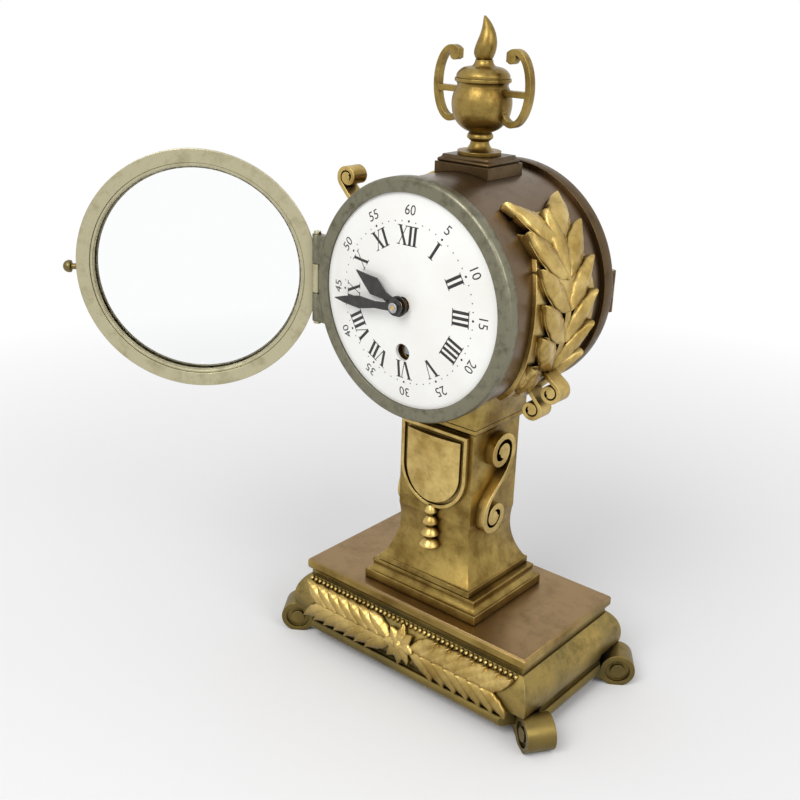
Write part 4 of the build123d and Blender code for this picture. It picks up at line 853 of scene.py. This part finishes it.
# Share of a bead's radius below its middle at which it is cut flat
BEAD_FLAT = 0.5

# Flank: pairs of leaves, their lean in degrees, and the share of a spacing below the lowest pair
ACANTHUS_PAIRS = 6
ACANTHUS_LEAN = 44
LOWEST_SHARE = 0.2

# Flank's top: share of the top leaf below it, and the turn in radians past it over which leaves draw in
TOP_SHARE = 0.9
TUCK_TURN = 0.25

# Angle in degrees past which an edge of the ornament stays sharp
ORNAMENT_SMOOTH = 50


def leaf_model(name, length, width, edge, ridge, lift):
    """Pointed leaf along +x with a raised midrib, veins and notched edges; the lift raises its tip."""
    deselect()
    bpy.ops.mesh.primitive_grid_add(x_subdivisions=LEAF_COLUMNS, y_subdivisions=LEAF_ROWS, size=1.0)
    made = bpy.context.object
    made.name = name
    made.scale = (length, width, 1.0)
    made.location.x = length / 2
    apply_place()
    edit(made)
    for column in range(LEAF_COLUMNS + 1):
        share = column / LEAF_COLUMNS
        spot = share * length
        swell = max(LEAF_LEAST, math.sin(math.pi * share ** LEAF_SWELL) ** LEAF_FULLNESS)
        notch = LEAF_NOTCH if column % 3 == 0 else 1.0
        pick(made, lambda place: abs(place.x - spot) < length / LEAF_COLUMNS / 4)
        bpy.ops.transform.resize(value=(1.0, swell * notch, 1.0), center_override=(spot, 0.0, 0.0))
        vein = ridge * LEAF_VEIN if column % 2 else 0.0
        bpy.ops.transform.translate(value=(0.0, 0.0, lift * share + vein))
    pick(made, lambda place: True)
    bpy.ops.transform.translate(value=(0.0, 0.0, edge))
    pick(made, lambda place: abs(place.y) < TINY)
    bpy.ops.transform.translate(value=(0.0, 0.0, ridge))
    thicken(made, -edge * LEAF_DEPTH - lift)
    soft = made.modifiers.new("soft_leaf", "SUBSURF")
    soft.levels = 1
    soft.render_levels = 1
    bpy.ops.object.modifier_apply(modifier=soft.name)
    return made


def bead(along, up, radius, rise):
    """Small round bead, flattened underneath."""
    deselect()
    bpy.ops.mesh.primitive_uv_sphere_add(
        segments=10, ring_count=6, radius=radius, location=(along, up, rise)
    )
    made = bpy.context.object
    apply_place()
    edit(made)
    underside = rise - radius * BEAD_FLAT
    pick(made, lambda spot: spot.z < underside)
    bpy.ops.transform.resize(value=(1.0, 1.0, 0.0), center_override=(along, up, underside))
    bpy.ops.object.mode_set(mode="OBJECT")
    return made


def frieze_surface():
    """Surface of the bulging front of the base frame."""
    sizes = bpy.context.scene.clock_sizes
    low = Vector(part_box("base_frame")[0])
    foot = Vector((low.y + sizes.frieze_foot, low.z + sizes.frieze_rise))
    head = Vector((low.y + sizes.frieze_head, low.z + sizes.frieze_rise + sizes.frieze_height))
    chord = head - foot
    outward = Vector((-chord.y, chord.x)).normalized()
    radius = (chord.length ** 2 / 4 + sizes.frieze_bulge ** 2) / (2 * sizes.frieze_bulge)
    middle = (foot + head) / 2 - outward * (radius - sizes.frieze_bulge)

    def surface(along, up):
        depth = math.sqrt(radius ** 2 - (up - middle.y) ** 2)
        normal = Vector((0.0, -depth, up - middle.y)) / radius
        return Vector((along, middle.x - depth, up)), normal

    return surface


class CLOCK_OT_base_frieze(bpy.types.Operator):
    """Laurel band with its rosette and a bead border on the front of the base"""

    bl_idname = "clock.base_frieze"
    bl_label = "Chase the base's frieze"

    def execute(self, context):
        sizes = context.scene.clock_sizes
        low, high = (Vector(corner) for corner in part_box("base_front_frieze"))
        middle = (low.z + high.z) / 2
        laurel = leaf_model("laurel", sizes.laurel_length, sizes.laurel_width, *sizes.laurel_heights)
        spacing = (high.x - sizes.laurel_length - sizes.laurel_start) / (LAUREL_PAIRS - 1)
        pieces = []
        for way, side in ((1, 0), (-1, 180)):
            for index in range(LAUREL_PAIRS):
                for lean in (-LAUREL_LEAN, LAUREL_LEAN):
                    spot = way * (sizes.laurel_start + index * spacing)
                    pieces.append(copy_to(laurel, flat(spot, middle, side + lean)))
        petal = leaf_model("petal", sizes.petal_length, sizes.petal_width, *sizes.petal_heights)
        for index in range(PETALS):
            pieces.append(copy_to(petal, flat(0.0, middle, 360.0 / PETALS * index)))
        drop(laurel, petal)
        pieces.append(bead(0.0, middle, sizes.boss_radius, sizes.boss_rise))
        for index in range(-BEADS_EACH_SIDE, BEADS_EACH_SIDE + 1):
            spot = index * sizes.bead_spacing
            pieces.append(bead(spot, middle + sizes.bead_level, sizes.bead_radius, sizes.bead_rise))
        band = joined("base_laurel_frieze", pieces)
        drape(band, frieze_surface())
        # The frieze takes the lighter gilding, a painted highlight
        settle(band, "case", "leaf", ORNAMENT_SMOOTH)
        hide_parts("base_front_frieze")
        return {"FINISHED"}


def flank_surface(side):
    """Outer face of a flank mount, right for side 1 and left for side -1, drawn in to the drum at the top."""
    sizes = bpy.context.scene.clock_sizes
    low, high = (Vector(corner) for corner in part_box("dial"))
    axis = Vector((0.0, 0.0, (low.z + high.z) / 2))
    bend = math.asin(sizes.flank_even / sizes.flank_radius)
    top = math.asin(sizes.flank_above / sizes.flank_radius)

    def surface(along, up):
        if up < sizes.flank_even:
            turn = math.asin(up / sizes.flank_radius)
        else:
            turn = bend + (up - sizes.flank_even) / (sizes.flank_radius * math.cos(bend))
        share = min(1.0, max(0.0, (turn - top) / TUCK_TURN))
        normal = Vector((side * math.cos(turn), 0.0, math.sin(turn)))
        spot = normal * (sizes.flank_radius - share * sizes.flank_tuck)
        return axis + spot + Vector((0.0, side * along, 0.0)), normal

    return surface


class CLOCK_OT_flank_leaves(bpy.types.Operator):
    """Acanthus leaves over the mounts on both flanks of the drum"""

    bl_idname = "clock.flank_leaves"
    bl_label = "Chase the flank leaves"

    def execute(self, context):
        sizes = context.scene.clock_sizes
        blade = leaf_model("acanthus", sizes.acanthus_length, sizes.acanthus_width, *sizes.acanthus_heights)
        low, high = (Vector(corner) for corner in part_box("right_flank_mount"))
        spacing = (sizes.flank_above + sizes.flank_below) / ACANTHUS_PAIRS
        top = sizes.flank_above - sizes.acanthus_length * TOP_SHARE
        for side, name in ((1, "right"), (-1, "left")):
            middle = side * (low.y + high.y) / 2
            pieces = []
            for index in range(ACANTHUS_PAIRS):
                level = (index + LOWEST_SHARE) * spacing - sizes.flank_below
                for lean in (-ACANTHUS_LEAN, ACANTHUS_LEAN):
                    pieces.append(copy_to(blade, flat(middle, level, 90 + lean)))
            pieces.append(copy_to(blade, flat(middle, top, 90)))
            leaves = joined(f"{name}_flank_acanthus", pieces)
            drape(leaves, flank_surface(side))
            # The flank leaves take the lighter gilding, a painted highlight
            settle(leaves, "case", "leaf", ORNAMENT_SMOOTH)
        drop(blade)
        return {"FINISHED"}


# Glass

# Angle in degrees past which an edge of the glass stays sharp
GLASS_SMOOTH = 30


class CLOCK_OT_bezel_glass(bpy.types.Operator):
    """Domed glass in the open bezel"""

    bl_idname = "clock.bezel_glass"
    bl_label = "Blow the glass"

    def execute(self, context):
        sizes = context.scene.clock_sizes
        ball = (sizes.glass_radius ** 2 + sizes.glass_rise ** 2) / (2 * sizes.glass_rise)
        deselect()
        bpy.ops.mesh.primitive_uv_sphere_add(segments=96, ring_count=220, radius=ball)
        glass = bpy.context.object
        glass.name = "bezel_dome_glass"
        edit(glass)
        bpy.ops.mesh.select_all(action="SELECT")
        rim = ball - sizes.glass_rise
        bpy.ops.mesh.bisect(plane_co=(0.0, 0.0, rim), plane_no=(0.0, 0.0, 1.0), clear_inner=True)
        pick(glass, lambda spot: spot.z < rim + TINY)
        bpy.ops.mesh.select_mode(type="EDGE")
        bpy.ops.mesh.extrude_region_move()
        grow = (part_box("bezel_glass")[1][2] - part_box("bezel_glass")[0][2]) / 2 / sizes.glass_radius
        bpy.ops.transform.resize(value=(grow, grow, 1.0), center_override=(0.0, 0.0, rim))
        bpy.ops.mesh.select_all(action="SELECT")
        bpy.ops.transform.translate(value=(0.0, 0.0, -rim))
        bpy.ops.mesh.normals_make_consistent(inside=False)
        bpy.ops.object.mode_set(mode="OBJECT")
        wall = glass.modifiers.new("wall", "SOLIDIFY")
        wall.thickness = sizes.glass_thickness
        wall.offset = -1.0
        bpy.ops.object.modifier_apply(modifier=wall.name)
        low, high = (Vector(corner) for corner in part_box("glass_retainer"))
        outward = Vector((-math.sin(sizes.glass_angle), -math.cos(sizes.glass_angle), 0.0))
        place = (low + high) / 2 + outward * (sizes.glass_back + sizes.glass_thickness)
        turn = outward.to_track_quat("Z", "Y").to_matrix()
        glass.matrix_world = Matrix.Translation(place) @ turn.to_4x4()
        apply_place()
        settle(glass, "bezel", "glass", GLASS_SMOOTH)
        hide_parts("bezel_glass")
        return {"FINISHED"}


# Screws

# Rounding of a head as a share of its height, and the slot's cutter by radius, radius and height
HEAD_ROUNDING = 0.16
SLOT_CUTTER = (2.6, 0.3, 0.9)

# Directions of the slots in degrees: case bolts; foot screws, by their place in metres; platform screws
BOLT_TURNS = (25, 70)
FOOT_TURN = 40
FOOT_TURN_BY_X = 1500
FOOT_TURN_BY_Y = 900
BRIDGE_TURNS = (35, 95)

# Degrees by which a screw is tipped about x so that its head looks back or down
HEAD_BACK = -90
HEAD_DOWN = 180


def slotted_screw(name, head, height, shank, reach):
    """Screw along z with the slotted top of its head at the origin and its shank downwards."""
    deselect()
    bpy.ops.mesh.primitive_cylinder_add(
        vertices=32, radius=head, depth=height, location=(0.0, 0.0, -height / 2)
    )
    made = bpy.context.object
    made.name = name
    apply_place()
    edit(made)
    pick(made, lambda spot: spot.z < -height / 2)
    bpy.ops.mesh.select_mode(type="FACE")
    bpy.ops.mesh.inset(thickness=head - shank)
    bpy.ops.mesh.extrude_region_move(TRANSFORM_OT_translate={"value": (0.0, 0.0, -reach)})
    bpy.ops.mesh.select_mode(type="VERT")
    pick(made, lambda spot: spot.z > -height / 2)
    bpy.ops.mesh.select_mode(type="EDGE")
    bpy.ops.mesh.bevel(offset=height * HEAD_ROUNDING, segments=2)
    bpy.ops.object.mode_set(mode="OBJECT")
    deselect()
    bpy.ops.mesh.primitive_cube_add(size=1.0)
    cutter = bpy.context.object
    across, wide, deep = SLOT_CUTTER
    cutter.scale = (head * across, head * wide, height * deep)
    apply_place()
    choose(made)
    slot = made.modifiers.new("slot", "BOOLEAN")
    slot.operation = "DIFFERENCE"
    slot.object = cutter
    bpy.ops.object.modifier_apply(modifier=slot.name)
    drop(cutter)
    return made


def turned_screw(place, tip, turn):
    """Place of a screw that is tipped about x and has its slot turned, both in degrees."""
    tipped = Matrix.Translation(place) @ Matrix.Rotation(math.radians(tip), 4, "X")
    return tipped @ Matrix.Rotation(math.radians(turn), 4, "Z")


def screw_set(name, model, places):
    """Copies of one screw at several places, joined and finished as steel."""
    pieces = [copy_to(model, place) for place in places]
    drop(model)
    made = joined(name, pieces)
    settle(made, "case", "steel")
    return made


class CLOCK_OT_screws(bpy.types.Operator):
    """Slotted case bolts, foot screws and the screws of the lever platform's bridges"""

    bl_idname = "clock.screws"
    bl_label = "Slot the screws"

    def execute(self, context):
        sizes = context.scene.clock_sizes
        head, height, shank = sizes.screw_radius, sizes.screw_height, sizes.shank_radius
        low, high = (Vector(corner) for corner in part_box("case_bolts"))
        model = slotted_screw("case_bolt", head, height, shank, high.y - low.y - height)
        places = []
        for x, turn in zip((low.x + head, high.x - head), BOLT_TURNS):
            places.append(turned_screw((x, high.y, (low.z + high.z) / 2), HEAD_BACK, turn))
        bolts = screw_set("case_bolts_slotted", model, places)
        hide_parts("case_bolts")
        low, high = (Vector(corner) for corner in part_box("foot_screws"))
        model = slotted_screw("foot_screw", head, height, shank, high.z - low.z - height)
        places = []
        for x in (low.x + head, high.x - head):
            for y in (low.y + head, high.y - head):
                turn = FOOT_TURN + FOOT_TURN_BY_X * x + FOOT_TURN_BY_Y * y
                places.append(turned_screw((x, y, low.z), HEAD_DOWN, turn))
        screws = screw_set("foot_screws_slotted", model, places)
        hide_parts("foot_screws")
        head, height = sizes.bridge_screw_radius, sizes.bridge_screw_height
        model = slotted_screw(
            "bridge_screw", head, height, sizes.bridge_shank_radius, sizes.bridge_shank_reach
        )
        low, high = (Vector(corner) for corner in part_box("balance_cock"))
        spots = [(high.x - sizes.cock_inset, high.y + height, low.z + sizes.cock_inset)]
        low, high = (Vector(corner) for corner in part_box("escape_bridge"))
        spots.append((low.x + sizes.bridge_inset, high.y + height, high.z - sizes.bridge_inset))
        places = [turned_screw(spot, HEAD_BACK, turn) for spot, turn in zip(spots, BRIDGE_TURNS)]
        screw_set("platform_screws", model, places)
        return {"FINISHED"}


# Studio

# Floor: radius and fade to white in metres from its middle, roughness and specular level
FLOOR_RADIUS = 6.0
FLOOR_FADE = (0.10, 0.60)
FLOOR_ROUGHNESS = 0.85
FLOOR_SPECULAR = 0.1

# Light: strength of the soft surroundings, and each lamp's name, place, size in metres and power in watts
SOFT_STRENGTH = 0.55
LAMPS = [
    ("key_lamp", (0.1, -0.95, 1.0), 0.7, 8.0),
    ("side_lamp", (0.9, -0.2, 0.7), 0.6, 3.0),
]
LAMP_AIM = (0.0, 0.0, 0.15)
WHITE = (1.0, 1.0, 1.0, 1.0)

# Camera: bearing, height and roll in degrees, aim in metres, focal length and picture in pixels, sensor in mm
CAMERA_BEARING = 39.606
CAMERA_HEIGHT = 21.208
CAMERA_ROLL = 1.783
CAMERA_AIM = (-0.0299, -0.0097, 0.1247)
FOCAL_PIXELS = 1089.946
PICTURE_PIXELS = 800
SENSOR_WIDTH = 36.0


def background_rays(tree):
    """Socket that is 1 for the rays that show the background: camera, glossy and transmission rays."""
    rays = put(tree, "ShaderNodeLightPath").outputs
    seen = math_node(tree, "MAXIMUM", rays["Is Camera Ray"], rays["Is Glossy Ray"])
    return math_node(tree, "MAXIMUM", seen, rays["Is Transmission Ray"])


def blend_shaders(tree, factor, first, second, target):
    """Mix two shaders by a factor and send the mix to the target socket."""
    mixed = put(tree, "ShaderNodeMixShader")
    for socket, source in zip(mixed.inputs, (factor, first, second)):
        give(tree, source, socket)
    give(tree, mixed.outputs["Shader"], target)
    lay_out(tree)


def make_floor():
    """Pale floor that keeps the clock's shadow and goes white far away."""
    deselect()
    bpy.ops.mesh.primitive_circle_add(vertices=96, radius=FLOOR_RADIUS, fill_type="NGON")
    floor = bpy.context.object
    floor.name = "studio_floor"
    finish, tree, shader = new_finish("studio_floor_paper")
    shader.inputs["Base Color"].default_value = (*bpy.context.scene.clock_finish.floor, 1.0)
    shader.inputs["Roughness"].default_value = FLOOR_ROUGHNESS
    shader.inputs["Specular IOR Level"].default_value = FLOOR_SPECULAR
    span = put(tree, "ShaderNodeVectorMath", operation="LENGTH")
    give(tree, object_place(tree), span.inputs[0])
    fade = map_range(tree, span.outputs["Value"], FLOOR_FADE, (0.0, 1.0))
    shown = math_node(tree, "MULTIPLY", fade, background_rays(tree))
    white = put(tree, "ShaderNodeEmission")
    white.inputs["Color"].default_value = WHITE
    target = tree.nodes["Material Output"].inputs["Surface"]
    blend_shaders(tree, shown, shader.outputs["BSDF"], white.outputs["Emission"], target)
    floor.data.materials.append(finish)


def make_world():
    """White surroundings for the camera, reflections and glass; softer light for the rest."""
    world = bpy.data.worlds.new("studio_world")
    bpy.context.scene.world = world
    world.use_nodes = True
    tree = world.node_tree
    soft = tree.nodes["Background"]
    white = put(tree, "ShaderNodeBackground")
    for background, strength in ((soft, SOFT_STRENGTH), (white, 1.0)):
        background.inputs["Color"].default_value = WHITE
        background.inputs["Strength"].default_value = strength
    shown = background_rays(tree)
    target = tree.nodes["World Output"].inputs["Surface"]
    blend_shaders(tree, shown, soft.outputs["Background"], white.outputs["Background"], target)


def make_lamps():
    """Soft square lamps that point at the clock."""
    for name, place, size, power in LAMPS:
        deselect()
        bpy.ops.object.light_add(type="AREA", location=place)
        made = bpy.context.object
        made.name = name
        made.data.size = size
        made.data.energy = power
        made.rotation_mode = "QUATERNION"
        made.rotation_quaternion = (Vector(LAMP_AIM) - Vector(place)).to_track_quat("-Z", "Y")


def make_camera():
    """Camera at the photograph's place, from its bearing, height, roll and distance."""
    azimuth, elevation, roll = (math.radians(turn) for turn in (CAMERA_BEARING, CAMERA_HEIGHT, CAMERA_ROLL))
    back = Vector((
        math.sin(azimuth) * math.cos(elevation),
        -math.cos(azimuth) * math.cos(elevation),
        math.sin(elevation),
    ))
    level = Vector((math.cos(azimuth), math.sin(azimuth), 0.0))
    upward = back.cross(level)
    across = level * math.cos(roll) + upward * math.sin(roll)
    upright = upward * math.cos(roll) - level * math.sin(roll)
    data = bpy.data.cameras.new("photo_camera")
    data.sensor_width = SENSOR_WIDTH
    data.lens = SENSOR_WIDTH * FOCAL_PIXELS / PICTURE_PIXELS
    camera = bpy.data.objects.new("photo_camera", data)
    bpy.context.scene.collection.objects.link(camera)
    turn = Matrix((across, upright, back)).transposed()
    spot = Vector(CAMERA_AIM) + back * bpy.context.scene.clock_sizes.camera_distance
    camera.matrix_world = Matrix.Translation(spot) @ turn.to_4x4()
    bpy.context.scene.camera = camera


class CLOCK_OT_studio(bpy.types.Operator):
    """Floor, lamps, world and camera"""

    bl_idname = "clock.studio"
    bl_label = "Build the studio"

    def execute(self, context):
        make_floor()
        make_world()
        make_lamps()
        make_camera()
        context.scene.view_settings.view_transform = "Standard"
        return {"FINISHED"}


# Panel and registration

STEPS = [
    CLOCK_OT_finish_metal, CLOCK_OT_dial_figures, CLOCK_OT_base_frieze, CLOCK_OT_flank_leaves,
    CLOCK_OT_bezel_glass, CLOCK_OT_screws, CLOCK_OT_studio,
]


class CLOCK_PT_sidebar(bpy.types.Panel):
    """Sidebar list of the clock's dressing steps and settings"""

    bl_idname = "CLOCK_PT_sidebar"
    bl_label = "Clock"
    bl_space_type = "VIEW_3D"
    bl_region_type = "UI"
    bl_category = "Clock"

    def draw(self, context):
        for step in STEPS:
            self.layout.operator(step.bl_idname)
        for group in (context.scene.clock_sizes, context.scene.clock_finish):
            for name in group.bl_rna.properties.keys():
                if name not in {"rna_type", "name"}:
                    self.layout.prop(group, name)


CLASSES = [ClockFinish, ClockSizes, *STEPS, CLOCK_PT_sidebar]


def register():
    """Register the classes and hang the settings on the scene."""
    for kind in CLASSES:
        bpy.utils.register_class(kind)
    bpy.types.Scene.clock_finish = bpy.props.PointerProperty(type=ClockFinish)
    bpy.types.Scene.clock_sizes = bpy.props.PointerProperty(type=ClockSizes)


def unregister():
    """Take the settings and the classes away again."""
    del bpy.types.Scene.clock_sizes
    del bpy.types.Scene.clock_finish
    for kind in reversed(CLASSES):
        bpy.utils.unregister_class(kind)


def main():
    """Dress the clock step by step."""
    register()
    bpy.ops.clock.finish_metal()
    bpy.ops.clock.dial_figures()
    bpy.ops.clock.base_frieze()
    bpy.ops.clock.flank_leaves()
    bpy.ops.clock.bezel_glass()
    bpy.ops.clock.screws()
    bpy.ops.clock.studio()


if __name__ == "__main__":
    main()
